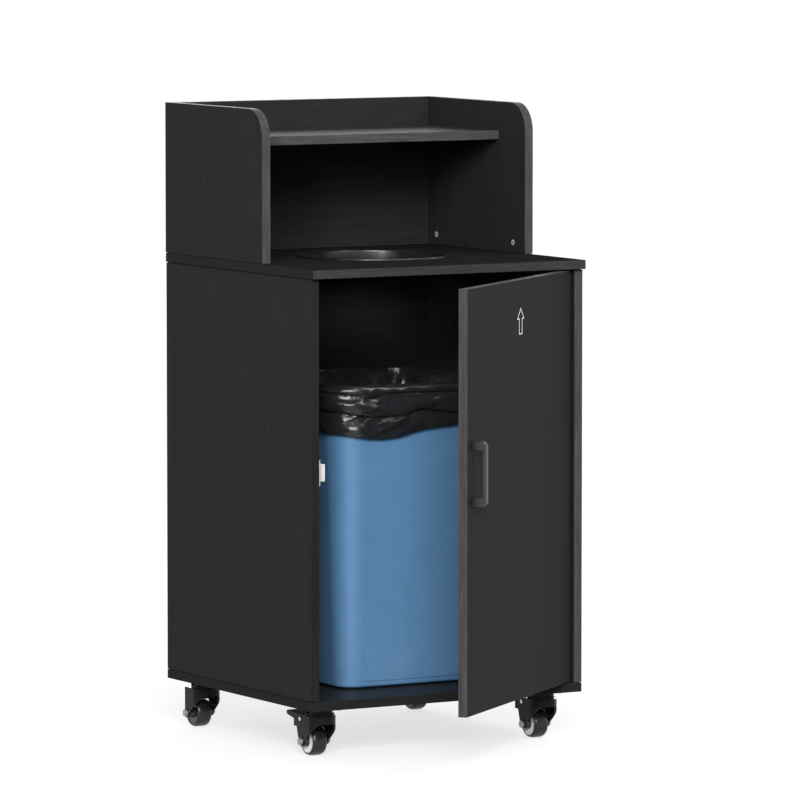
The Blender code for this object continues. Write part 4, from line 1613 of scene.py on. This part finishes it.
@dataclass
class Caster:
    """One swivel caster: plate, fork, wheel, axle nuts and, on the front pair, a brake pedal."""

    name: str
    braked: bool
    plate_reach: float = 0.0225
    plate_round: float = 0.0004
    pin_round: float = 0.0003
    pedal_round: float = 0.0008
    fork_round: float = 0.0005
    web_round: float = 0.0006
    web: Point2 = (0.0120, 0.0145)
    web_low: float = 0.0504
    web_foot: float = 0.0400
    web_gap: float = 0.0156
    web_ease: float = 0.0025
    web_inset: float = 0.0040
    tread: float = 0.0047
    crown_high: float = 0.0044
    crown_wide: float = 0.0090
    crown_steps: int = 10
    hub_sink: float = 0.0010
    hub_boss: float = 0.0088
    hub_cap: float = 0.0098
    hub_bore: float = 0.0043
    hub_seat: float = 0.0003
    hub_step: Point3 = (0.0014, 0.0010, 0.0006)
    hub_rounds: tuple[float, ...] = (0.0004, 0.0006, 0.0005, 0.0003, 0.0002, 0.0003)
    hub_round_steps: int = 3
    axle: float = 0.0038
    axle_steps: int = 24
    washer: float = 0.0010
    washer_round: float = 0.0002
    nut: float = 0.0043
    nut_share: float = 0.97
    nut_turn: float = 15.0
    nut_gap: float = 0.0001
    nut_short: float = 0.0008
    nut_round: float = 0.0005
    steps: int = 72

    def build(self) -> None:
        """Dress the caster."""
        plate = f"{self.name}_caster_plate"
        dress_node(plate, f"{plate}_body", "cabinet", ENAMEL, self.plate_round)
        self.build_fork()
        pin = f"{self.name}_kingpin"
        dress_node(pin, f"{pin}_body", "cabinet", ZINC, self.pin_round)
        self.build_wheel()
        self.build_axle()
        if self.braked:
            self.build_brake()

    def build_fork(self) -> None:
        """Dress the fork and close it behind its front arch with a web above the wheel."""
        node = f"{self.name}_caster_fork"
        plate_low, plate_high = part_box(f"{self.name}_caster_plate")
        low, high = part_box(node)
        axis = (plate_low.y + plate_high.y) / 2
        wide = (high.x - low.x) / 2 - self.web_inset
        middle = (low.x + high.x) / 2
        half = [
            (wide, high.z - self.web_inset),
            (wide, self.web_foot),
            (self.web_gap, self.web_foot),
            (self.web_gap, self.web_low - self.web_ease),
            (self.web_gap - self.web_ease, self.web_low),
        ]
        outline = half + [(-x, z) for x, z in reversed(half)]
        front, back = self.web
        web = extruded(outline, axis + front, axis + back, lambda a, b, h: (middle + a, h, b))
        shape = joined([softened(node, self.fork_round), round_edges(web, self.web_round, 2)])
        mount(even_normals(piece_from(f"{node}_body", shape, ENAMEL)), f"{self.name}_caster", ENAMEL, node)

    def plate_screw_spots(self) -> list[Spot]:
        """Where the plate's screws go.

        Returns:
            Place and facing direction of each screw.
        """
        low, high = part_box(f"{self.name}_caster_plate")
        middle = (low + high) / 2
        down = Vector((0.0, 0.0, -1.0))
        reach = (-self.plate_reach, self.plate_reach)
        return [(Vector((middle.x + x, middle.y + y, low.z)), down) for x in reach for y in reach]

    def build_wheel(self) -> None:
        """Make the tyre with its rounded tread and the flat-faced hub, white on the front pair."""
        low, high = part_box(f"{self.name}_tyre")
        centre = (low + high) / 2
        radius = (high.z - low.z) / 2
        half = (high.x - low.x) / 2
        seat = radius - self.tread
        crown = [
            (radius - self.crown_high * (1.0 - a), half - self.crown_wide * (1.0 - b))
            for a, b in arc((0.0, 0.0), 1.0, 0, 90, self.crown_steps)
        ]
        tread = [(seat, -half), *((r, -x) for r, x in reversed(crown)), *crown, (seat, half)]
        node = f"{self.name}_tyre"
        tyre = SPIN.make(f"{node}_tread", tread, self.steps, about(centre, Axis.X), RUBBER)
        mount(tyre, f"{self.name}_wheel", RUBBER, node)
        self.build_hub(centre, half - self.hub_sink, seat - self.hub_seat)

    def build_hub(self, centre: Vector, face: float, rim: float) -> None:
        """Make the hub with a bevelled cap and a raised step at its rim.

        Args:
            centre: middle of the wheel.
            face: distance of its flat faces from the middle.
            rim: its outer radius.
        """
        node = f"{self.name}_wheel_hub"
        low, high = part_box(node)
        boss = (high.x - low.x) / 2
        step_in, step_out, step_high = self.hub_step
        raised = face + step_high
        corners = (
            (self.hub_bore, boss), (self.hub_boss, boss), (self.hub_cap, face),
            (rim - step_in, face), (rim - step_out, raised), (rim, raised),
        )
        side = [(r, x, size) for (r, x), size in zip(corners, self.hub_rounds)]
        outline = filleted(side + [(r, -x, size) for r, x, size in reversed(side)], self.hub_round_steps)
        finish = HUB_WHITE if self.braked else RING_PLASTIC
        place = about(centre, Axis.X)
        hub = SPIN.make(f"{node}_body", outline, self.steps, place, finish, RING_PLASTIC)
        for part in hub.data.polygons:
            part.material_index = 1 if (part.center - centre).yz.length < self.hub_cap else 0
        mount(hub, f"{self.name}_wheel", finish, node)

    def build_axle(self) -> None:
        """Make the axle with a washer and a hexagon nut on each side."""
        node = f"{self.name}_axle_bolt"
        low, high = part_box(node)
        half = (high.x - low.x) / 2
        corner = (high.z - low.z) / 2
        place = about((low + high) / 2, Axis.X)
        disc = circle((0.0, 0.0), corner, self.axle_steps)
        hexagon = arc((0.0, 0.0), corner * self.nut_share, self.nut_turn, self.nut_turn + 300.0, 5)
        start = half - self.nut
        seat = start + self.washer
        shapes = [extruded(circle((0.0, 0.0), self.axle, self.axle_steps), -half, half, place)]
        for side in (-1.0, 1.0):
            washer = extruded(disc, side * start, side * seat, place)
            shapes.append(round_edges(washer, self.washer_round, 1))
            nut = extruded(hexagon, side * (seat + self.nut_gap), side * (half - self.nut_short), place)
            shapes.append(round_edges(nut, self.nut_round, 2))
        nuts = piece_from(f"{node}_nuts", joined(shapes), DULL_ZINC)
        mount(nuts, f"{self.name}_caster", DULL_ZINC, node)

    def build_brake(self) -> None:
        """Dress the brake pedal and its rivet."""
        pedal = f"{self.name}_brake_pedal"
        pin = f"{self.name}_pedal_pin"
        dress_node(pedal, f"{pedal}_body", f"{self.name}_brake", ENAMEL, self.pedal_round, 3)
        dress_node(pin, f"{pin}_rivet", f"{self.name}_caster", ZINC, self.pin_round)


@dataclass
class Casters:
    """The four casters and the screws that hold them."""

    names: tuple[str, ...] = ("front_left", "front_right", "rear_left", "rear_right")
    screw: Point2 = (0.0038, 0.0020)

    def build(self) -> None:
        """Dress all four."""
        spots = []
        for name in self.names:
            caster = Caster(name, name.startswith("front"))
            caster.build()
            spots += caster.plate_screw_spots()
        set_screws("caster_screws", self.screw, spots, ENAMEL, "cabinet")


# Bin and liner


@dataclass
class BinForm:
    """Sizes that the bin and its liner share: a tapered round-cornered tub."""

    foot_width: float = 0.290
    foot_depth: float = 0.296
    spread: float = 0.019
    height: float = 0.529
    wall: float = 0.0025
    corner: float = 0.036
    least_corner: float = 0.002
    lip: float = 0.008

    def __post_init__(self) -> None:
        """Find the foot's middle in the frame."""
        low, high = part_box("waste_bin")
        self.centre = Vector(((low.x + high.x) / 2, (low.y + high.y) / 2, low.z))

    def ring(self, height: float, offset: float, corner_steps: int, shares: Sequence[float]) -> list[Spot]:
        """Points and outward directions round the tub at a height.

        Args:
            height: height above the foot.
            offset: distance out from the wall.
            corner_steps: steps across each corner.
            shares: places along each straight side, between 0 and 1.

        Returns:
            Pairs of a plan point about the tub's middle and its outward direction.
        """
        grow = self.spread * height / self.height + offset
        bend = max(self.least_corner, self.corner + grow)
        x = self.foot_width / 2 + grow - bend
        y = self.foot_depth / 2 + grow - bend
        corners = ((x, -y, -90.0), (x, y, 0.0), (-x, y, 90.0), (-x, -y, 180.0))
        found: list[Spot] = []
        for index, (cx, cy, start) in enumerate(corners):
            for step in range(corner_steps + 1):
                angle = math.radians(start + 90.0 * step / corner_steps)
                way = Vector((math.cos(angle), math.sin(angle)))
                found.append((Vector((cx, cy)) + way * bend, way))
            nx, ny, _ = corners[(index + 1) % 4]
            first = Vector((cx, cy)) + way * bend
            last = Vector((nx, ny)) + way * bend
            found += [(first.lerp(last, share), way.copy()) for share in shares]
        return found


@dataclass
class WasteBin:
    """Blue moulded tub on a small foot, with a panel grooved low on two sides and a rolled rim."""

    form: BinForm
    panel_half: float = 0.1000
    panel_low: float = 0.0124
    panel_high: float = 0.0950
    groove: float = 0.0016
    groove_half: float = 0.0007
    foot: float = 0.0028
    foot_inset: float = 0.0120
    lip_height: float = 0.007
    flat_on: float = 0.999
    corner_steps: int = 16

    def grooved(self, plan: Vector, way: Vector, height: float) -> Vector:
        """Move a point of the outside in where it lies in a panel's groove, which runs out upwards.

        Args:
            plan: plan point on the wall.
            way: outward direction there.
            height: height above the foot.

        Returns:
            The plan point on the finished wall.
        """
        on_face = abs(way.y) > self.flat_on
        along = abs(height - self.panel_low) < MERGE and abs(plan.x) < self.panel_half + MERGE
        up = abs(abs(plan.x) - self.panel_half) < MERGE and self.panel_low < height < self.panel_high
        if not on_face or not (along or up):
            return plan
        left = (self.panel_high - height) / (self.panel_high - self.panel_low)
        return plan - way * self.groove * left

    def build(self) -> None:
        """Loft the tub, outside and inside, as one closed shell."""
        form = self.form
        shape = bmesh.new()
        rings = []
        for height, offset in self.section():
            ring = []
            for plan, way in form.ring(height, offset, self.corner_steps, self.shares()):
                if offset > -form.wall:
                    plan = self.grooved(plan, way, height)
                ring.append(shape.verts.new((*(form.centre.xy + plan), form.centre.z + height)))
            rings.append(ring)
        skin(shape, rings)
        shape.faces.new(rings[0])
        shape.faces.new(rings[-1])
        mount(even_normals(piece_from("blue_bin", shape, BIN_BLUE)), "bin", BIN_BLUE, "waste_bin")

    def section(self) -> list[Point2]:
        """The wall's section: heights, each with its distance out from the plain wall.

        Returns:
            The stations from the foot up the outside, over the rim and down to the floor inside.
        """
        foot, low, groove = self.foot, self.panel_low, self.groove_half
        top, wall, lip = self.form.height, self.form.wall, self.form.lip
        under = top - self.lip_height
        base = [
            (0.0, -self.foot_inset), (foot, 0.0008 - self.foot_inset), (foot, -0.0040),
            (foot + 0.0006, -0.0018), (foot + 0.0020, -0.0004),
        ]
        sides = (
            foot + 0.0042, low - groove, low, low + groove, low + 0.002, 0.04, 0.07, self.panel_high,
            0.17, 0.25, 0.38, under - 0.003,
        )
        rim = [
            (under - 0.0008, 0.0006), (under, 0.0022), (under, lip - 0.0012), (under + 0.0012, lip),
            (top - 0.0025, lip), (top - 0.0007, lip - 0.0007), (top, lip - 0.0025), (top, 0.0010),
            (top - 0.0006, 0.0010 - wall),
        ]
        inner = (top - 0.0022, 0.38, 0.25, 0.12, wall + 0.012)
        well = [(wall + 0.0040, -wall - 0.0035), (wall, -wall - 0.0120)]
        outside = [(height, 0.0) for height in sides]
        inside = [(height, -wall) for height in inner]
        return base + outside + rim + inside + well

    def shares(self) -> list[float]:
        """Places along each straight side, close together at the panel's upright grooves.

        Returns:
            Shares of the side's length, in rising order.
        """
        flat = self.form.foot_width - 2 * self.form.corner
        edge = (flat / 2 - self.panel_half) / flat
        step = self.groove_half / flat
        near = [edge * 0.5, edge - step, edge, edge + step, edge * 1.6]
        return [*near, 0.2, 0.35, 0.5, 0.65, 0.8, *(1.0 - share for share in reversed(near))]


def eased(knots: Sequence[Point2], at: float) -> float:
    """Read a smooth line through knots.

    Args:
        knots: places in rising order, each with its value.
        at: place to read.

    Returns:
        The value there.
    """
    if at <= knots[0][0]:
        return knots[0][1]
    for (start, first), (end, last) in zip(knots[:-1], knots[1:]):
        if at <= end:
            share = (at - start) / (end - start)
            return first + (last - first) * share * share * (3.0 - 2.0 * share)
    return knots[-1][1]


@dataclass(frozen=True)
class Drift:
    """A value that changes slowly round the bin."""

    level: float
    swing: float
    scale: float
    layer: float

    def at(self, plan: Vector) -> float:
        """The value at a plan point."""
        place = Vector((plan.x * self.scale, plan.y * self.scale, self.layer))
        return self.level + self.swing * noise.noise(place)


@dataclass(frozen=True)
class Roll:
    """A sagging roll of film: it swells below one crease and pulls in at the next."""

    depth: float
    rise: float
    fall: float

    def at(self, share: float) -> float:
        """How far the roll stands out.

        Args:
            share: place across the roll, from 0 to 1.

        Returns:
            The stand-off in metres.
        """
        fullest = self.rise / (self.rise + self.fall)
        most = fullest**self.rise * (1.0 - fullest) ** self.fall
        return self.depth * share**self.rise * max(0.0, 1.0 - share) ** self.fall / most


@dataclass(frozen=True)
class Crinkle:
    """Sharp-ridged folds as in creased film."""

    depth: float
    scale: float
    seed: float
    sharp: float = 2.4
    skew: float = 0.7

    def rise(self, place: Vector) -> float:
        """How far the film stands off at a point of the pattern.

        Args:
            place: the point.

        Returns:
            The rise in metres.
        """
        shift = Vector((self.seed, self.seed * self.skew, -self.seed))
        value = noise.noise(place * self.scale + shift)
        return self.depth * (1.0 - min(1.0, abs(value) * self.sharp))


@dataclass(frozen=True)
class Ridge:
    """A raised fold across the front of the skirt between two places, each an X and a drop from the rim."""

    start: Point2
    end: Point2
    width: float
    height: float

    def rise(self, x: float, drop: float) -> float:
        """How far the ridge stands out at a place on the front.

        Args:
            x: place across the front.
            drop: drop below the rim.

        Returns:
            The rise in metres.
        """
        start = Vector(self.start)
        along = Vector(self.end) - start
        place = Vector((x, drop)) - start
        share = min(1.0, max(0.0, place.dot(along) / along.length_squared))
        away = (place - along * share).length
        return self.height * math.exp(-((away / self.width) ** 2))


@dataclass
class BinLiner:
    """Black film bag: it stands on the bin's floor, hangs in folds and is turned over the rim."""

    form: BinForm
    film: float = 0.00030
    gap: float = 0.0006
    rim_lift: float = 0.0055
    rim_even: Drift = Drift(level=0.55, swing=0.45, scale=14.0, layer=3.1)
    rim_share: float = 0.4
    rim_clear: float = 0.0010
    rim_spread: float = 0.7
    rim_height: float = 0.3
    skirt: float = 0.069
    lobes: tuple[Point3, ...] = (
        (-2.03, 0.52, 0.0205), (-0.3, 0.4, 0.008), (2.8, 0.5, 0.006), (1.2, 0.4, 0.012),
    )
    hem_wave: Point3 = (0.0010, 9.0, 0.8)
    tuck: float = 0.0045
    tuck_start: float = 0.008
    tuck_run: float = 0.012
    top_roll: Roll = Roll(depth=0.0034, rise=0.8, fall=0.40)
    middle_roll: Roll = Roll(depth=0.0105, rise=0.85, fall=0.40)
    swell: Drift = Drift(level=0.82, swing=0.55, scale=8.0, layer=5.0)
    hem_roll: float = 0.0085
    hem_swell: Point2 = (1.5, 0.6)
    hem_flare: Point3 = (0.8, 1.35, 0.80)
    upper_drift: Drift = Drift(level=0.0, swing=0.0035, scale=9.0, layer=2.3)
    lower_drift: Drift = Drift(level=0.0, swing=0.0035, scale=9.0, layer=6.1)
    upper_crease: tuple[Point2, ...] = (
        (-0.170, 0.007), (-0.130, 0.011), (-0.104, 0.017), (-0.074, 0.010), (0.035, 0.012), (0.170, 0.015),
    )
    lower_crease: tuple[Point2, ...] = (
        (-0.170, 0.043), (-0.104, 0.051), (-0.044, 0.050), (-0.004, 0.0415), (0.066, 0.050), (0.170, 0.046),
    )
    ridges: tuple[Ridge, ...] = (
        Ridge((-0.152, 0.026), (-0.100, 0.036), 0.0055, 0.0022),
        Ridge((-0.084, 0.074), (-0.034, 0.056), 0.0060, 0.0032),
        Ridge((-0.020, 0.030), (0.050, 0.024), 0.0090, 0.0020),
    )
    skirt_broad: Crinkle = Crinkle(depth=0.0016, scale=30.0, seed=9.4)
    skirt_fine: Crinkle = Crinkle(depth=0.0009, scale=78.0, seed=3.7)
    broad_slant: Point2 = (0.8, 1.6)
    fine_slant: Point2 = (-0.6, 1.0)
    skirt_ease: Point2 = (0.2, 0.012)
    rim_crinkle: Crinkle = Crinkle(depth=0.0020, scale=34.0, seed=1.7)
    inside_broad: Crinkle = Crinkle(depth=0.0090, scale=26.0, seed=4.2)
    inside_fine: Crinkle = Crinkle(depth=0.0030, scale=40.0, seed=2.9)
    inside_drape: float = 0.35
    inside_ease: float = 8.0
    floor_crinkle: Crinkle = Crinkle(depth=0.0040, scale=24.0, seed=8.8)
    floor_ease: float = 0.010
    floor_inset: float = 0.004
    corner_steps: int = 26
    side_steps: int = 46
    flat_round: float = 1.22
    flat_long: float = 0.70

    def build(self) -> None:
        shape = bmesh.new()
        rings = [self.ring_points(*station) for station in self.stations()]
        loops = [[shape.verts.new(point) for point in ring] for ring in rings]
        skin(shape, loops)
        last = loops[-1]
        middle = shape.verts.new(sum((vert.co for vert in last), Vector()) / len(last))
        for index, vert in enumerate(last):
            shape.faces.new((vert, last[(index + 1) % len(last)], middle))
        bmesh.ops.recalc_face_normals(shape, faces=shape.faces)
        obj = piece_from("black_liner", shape, FILM, recalc=False)
        solid = obj.modifiers.new("film", "SOLIDIFY")
        solid.thickness = self.film
        solid.offset = 0.0
        bake(obj)
        obj.data.shade_smooth()
        mount(obj, "bin", FILM, "bin_liner")

    def stations(self) -> list[tuple[Zone, float]]:
        """Stations along the bag's path: hem, skirt, rim, inside and floor.

        Returns:
            Zone of each station and its place along that zone, from 0 to 1.
        """
        counts = ((Zone.SKIRT, 0, 56), (Zone.RIM, 1, 10), (Zone.INSIDE, 1, 44), (Zone.FLOOR, 1, 10))
        found = [(zone, step / steps) for zone, first, steps in counts for step in range(first, steps + 1)]
        return found[:-1]

    def hem(self, plan: Vector) -> float:
        """Drop of the hem below the rim at a place round the bin.

        Args:
            plan: plan point on the wall at the rim.

        Returns:
            The drop in metres.
        """
        turn = math.atan2(plan.y, plan.x)
        drop = self.skirt
        for middle, spread, size in self.lobes:
            away = (turn - middle + math.pi) % math.tau - math.pi
            drop += size * math.exp(-((away / spread) ** 2))
        depth, waves, shift = self.hem_wave
        return drop + depth * math.sin(waves * turn + shift)

    def skirt_fold(self, plan: Vector, drop: float, hem: float) -> float:
        """How far the skirt stands off the lip: three rolls, parted by two creases that wander.

        Args:
            plan: plan point on the wall at the rim.
            drop: drop below the rim.
            hem: drop of the hem there.

        Returns:
            The stand-off in metres.
        """
        upper = eased(self.upper_crease, plan.x) + self.upper_drift.at(plan)
        lower = eased(self.lower_crease, plan.x) + self.lower_drift.at(plan)
        swell = self.swell.at(plan)
        if drop < upper:
            fold = self.top_roll.at(drop / upper)
        elif drop < lower:
            fold = swell * self.middle_roll.at((drop - upper) / (lower - upper))
        else:
            share = min(1.0, (drop - lower) / (hem - lower))
            power, wide, narrow = self.hem_flare
            fold = self.hem_roll * (self.hem_swell[0] - swell * self.hem_swell[1])
            fold *= share**power * (wide - narrow * share)
        if plan.y < 0.0:
            fold += sum(ridge.rise(plan.x, drop) for ridge in self.ridges)
        ease = min(1.0, self.skirt_ease[0] + drop / self.skirt_ease[1])
        for crinkle, slant in ((self.skirt_broad, self.broad_slant), (self.skirt_fine, self.fine_slant)):
            fold += ease * crinkle.rise(Vector((plan.x + drop * slant[0], plan.y, drop * slant[1])))
        tucked = min(1.0, max(0.0, (drop - self.tuck_start) / self.tuck_run))
        return self.gap + fold - self.tuck * tucked

    def ring_points(self, zone: Zone, share: float) -> list[Vector]:
        """Points of the bag round one station.

        Args:
            zone: part of the path.
            share: place along that part, from 0 to 1.

        Returns:
            The points.
        """
        form = self.form
        sides = [step / self.side_steps for step in range(1, self.side_steps)]
        around = form.ring(form.height, 0.0, self.corner_steps, sides)
        if zone is Zone.FLOOR:
            return [form.centre + self.floor_point(plan, 1.0 - share) for plan, _ in around]
        points = []
        for plan, way in around:
            height, offset = self.wall_place(zone, share, plan)
            shrink = form.spread * (1.0 - height / form.height)
            points.append(form.centre + (plan + way * (offset - shrink)).to_3d() + Vector((0.0, 0.0, height)))
        return points

    def wall_place(self, zone: Zone, share: float, plan: Vector) -> Point2:
        """Where the film runs on the skirt, over the rim or inside.

        Args:
            zone: part of the path.
            share: place along that part, from 0 to 1.
            plan: plan point on the wall at the rim.

        Returns:
            Height above the bin's foot and distance out from its wall.
        """
        form = self.form
        inner = -form.wall - self.gap
        outer = form.lip + self.gap
        lift = self.rim_lift * self.rim_even.at(plan)
        edge = form.height + lift * self.rim_share
        if zone is Zone.SKIRT:
            hem = self.hem(plan)
            drop = hem * (1.0 - share)
            return edge - drop, outer + self.skirt_fold(plan, drop, hem)
        if zone is Zone.RIM:
            angle = math.pi * share
            fold = self.rim_crinkle.rise(Vector((plan.x, plan.y, self.rim_height)))
            reach = (outer - inner) / 2 + self.rim_clear + fold * self.rim_spread
            rise = lift * (1.0 - self.rim_share) + self.gap + fold
            return edge + rise * math.sin(angle), (outer + inner) / 2 + reach * math.cos(angle)
        height = edge * (1.0 - share) + (form.wall + self.gap + self.floor_ease) * share
        fold = self.inside_broad.rise(Vector((plan.x, plan.y, height * self.inside_drape)))
        fold += self.inside_fine.rise(Vector((plan.x, plan.y, height)))
        return height, inner - self.rim_clear - fold * min(1.0, share * self.inside_ease)

    def floor_point(self, plan: Vector, close: float) -> Vector:
        """A point of the bag's floor.

        Args:
            plan: plan point on the wall at the rim.
            close: share of the way from the floor's middle to its edge.

        Returns:
            The point about the bin's foot.
        """
        form = self.form
        height = form.wall + self.gap + self.floor_ease * close**3
        base = form.ring(height, -form.wall - self.gap - self.floor_inset, 1, ())
        half_x = max(point.x for point, _ in base)
        half_y = max(point.y for point, _ in base)
        x = plan.x / (form.foot_width / 2 + form.spread) * half_x * close
        y = plan.y / (form.foot_depth / 2 + form.spread) * half_y * close
        return Vector((x, y, height + self.floor_crinkle.rise(Vector((x, y, 0.0)))))


# Studio


@dataclass
class Studio:
    """Camera at the photograph's angle, soft light and a pale floor."""

    look_at: Point3 = (-0.0965, -0.107006, 0.61786)
    yaw: float = math.radians(-29.92)
    pitch: float = math.radians(5.03)
    distance: float = 11.2077
    lens: float = 292.64
    sensor: float = 36.0
    far: float = 200.0
    aim: Point3 = (0.0, 0.1, 0.55)
    sun_away: float = 6.0
    floor_size: float = 600.0
    floor_rough: float = 0.9
    world_level: float = 0.40
    floor_tone: float = 0.34
    floor_glow: float = 0.70

    def build(self) -> None:
        """Set up the camera, the lamps, the world and the floor."""
        bpy.context.scene.view_settings.view_transform = "Standard"
        self.build_camera()
        self.build_world()
        self.build_floor()
        self.sun("key_light", azimuth=-27.0, height=26.0, spread=22.0, power=2.36)
        self.sun("top_light", azimuth=20.0, height=74.0, spread=50.0, power=0.40)
        self.sun("back_light", azimuth=158.0, height=12.0, spread=40.0, power=1.50)
        self.softbox("left_softbox", place=(-2.9, -3.0, 2.1), size=(0.5, 1.2), power=66.0)
        self.softbox("high_softbox", place=(1.75, -2.95, 3.6), size=(1.6, 1.0), power=42.0)
        self.softbox("right_softbox", place=(3.6, -1.3, 1.9), size=(0.5, 2.2), power=14.0)

    def build_camera(self) -> None:
        """Place the camera as the photograph was taken."""
        data = bpy.data.cameras.new("photo_camera")
        data.lens = self.lens
        data.sensor_width = self.sensor
        data.clip_end = self.far
        camera = bpy.data.objects.new("photo_camera", data)
        bpy.context.scene.collection.objects.link(camera)
        level = math.cos(self.pitch)
        back = Vector((math.sin(self.yaw) * level, -math.cos(self.yaw) * level, math.sin(self.pitch)))
        camera.location = Vector(self.look_at) + back * self.distance
        camera.rotation_euler = (-back).to_track_quat("-Z", "Y").to_euler()
        bpy.context.scene.camera = camera

    def seen(self, wiring: Wiring) -> Socket:
        """A value of 1 for rays from the camera and for those that gloss and glass pass on.

        Args:
            wiring: wiring of the node tree.

        Returns:
            The socket with the value.
        """
        path = wiring.add("ShaderNodeLightPath")
        seen = wiring.maths("MAXIMUM", path.outputs["Is Camera Ray"], path.outputs["Is Glossy Ray"])
        return wiring.maths("MAXIMUM", seen, path.outputs["Is Transmission Ray"])

    def build_world(self) -> None:
        """Even surroundings, white to the camera and in reflections."""
        world = bpy.data.worlds.new("studio_world")
        world.use_nodes = True
        wiring = Wiring(world.node_tree)
        shade = world.node_tree.nodes["Background"]
        shade.inputs["Color"].default_value = (1.0, 1.0, 1.0, 1.0)
        strength = wiring.ranged(self.seen(wiring), UNIT, (self.world_level, 1.0))
        wiring.join(strength, shade.inputs["Strength"])
        bpy.context.scene.world = world

    def build_floor(self) -> None:
        """A white floor that keeps the cabinet's soft shadow."""
        half = self.floor_size / 2
        shape = bmesh.new()
        corners = ((-half, -half), (half, -half), (half, half), (-half, half))
        shape.faces.new([shape.verts.new((x, y, 0.0)) for x, y in corners])
        mesh = bpy.data.meshes.new("studio_floor")
        shape.to_mesh(mesh)
        shape.free()
        material = bpy.data.materials.new("floor_white")
        material.use_nodes = True
        wiring = Wiring(material.node_tree)
        shader = material.node_tree.nodes["Principled BSDF"]
        shader.inputs["Base Color"].default_value = grey(self.floor_tone)
        shader.inputs["Roughness"].default_value = self.floor_rough
        shader.inputs["Specular IOR Level"].default_value = 0.0
        shader.inputs["Emission Color"].default_value = (1.0, 1.0, 1.0, 1.0)
        glow = wiring.maths("MULTIPLY", self.seen(wiring), self.floor_glow)
        wiring.join(glow, shader.inputs["Emission Strength"])
        mesh.materials.append(material)
        fresh_object("studio_floor", mesh)

    def softbox(self, name: str, place: Point3, size: Point2, power: float) -> None:
        """Add a soft rectangular lamp aimed at the cabinet.

        Args:
            name: name of the lamp.
            place: where it hangs.
            size: width and height.
            power: watts.
        """
        data = bpy.data.lights.new(name, "AREA")
        data.shape = "RECTANGLE"
        data.size, data.size_y = size
        data.energy = power
        self.hang(name, data, Vector(place), Vector(self.aim) - Vector(place))

    def sun(self, name: str, azimuth: float, height: float, spread: float, power: float) -> None:
        """Add a far soft light.

        Args:
            name: name of the light.
            azimuth: degrees round from the cabinet's front, positive to the right.
            height: degrees above the floor.
            spread: apparent width in degrees.
            power: light on a face turned to it.
        """
        data = bpy.data.lights.new(name, "SUN")
        data.angle = math.radians(spread)
        data.energy = power
        level = math.cos(math.radians(height))
        turn = math.radians(azimuth)
        source = Vector((math.sin(turn) * level, -math.cos(turn) * level, math.sin(math.radians(height))))
        self.hang(name, data, source * self.sun_away, -source)

    def hang(self, name: str, data: bpy.types.Light, place: Vector, aim: Vector) -> None:
        """Put a lamp into the scene, aimed along a direction.

        Args:
            name: name of the lamp.
            data: its light.
            place: where it hangs.
            aim: direction in which it shines.
        """
        obj = bpy.data.objects.new(name, data)
        bpy.context.scene.collection.objects.link(obj)
        obj.location = place
        obj.rotation_euler = aim.to_track_quat("-Z", "Y").to_euler()


def main() -> None:
    """Build the studio and every sub-assembly."""
    logging.basicConfig(level=logging.INFO)
    Studio().build()
    where = DoorFrame()
    form = BinForm()
    assemblies = (
        Carcass(), CamLocks(), CounterRing(), Door(where), Catch(), Hinges(where), Casters(),
        WasteBin(form), BinLiner(form),
    )
    for assembly in assemblies:
        assembly.build()
        LOG.info("%s done", type(assembly).__name__)


if __name__ == "__main__":
    main()
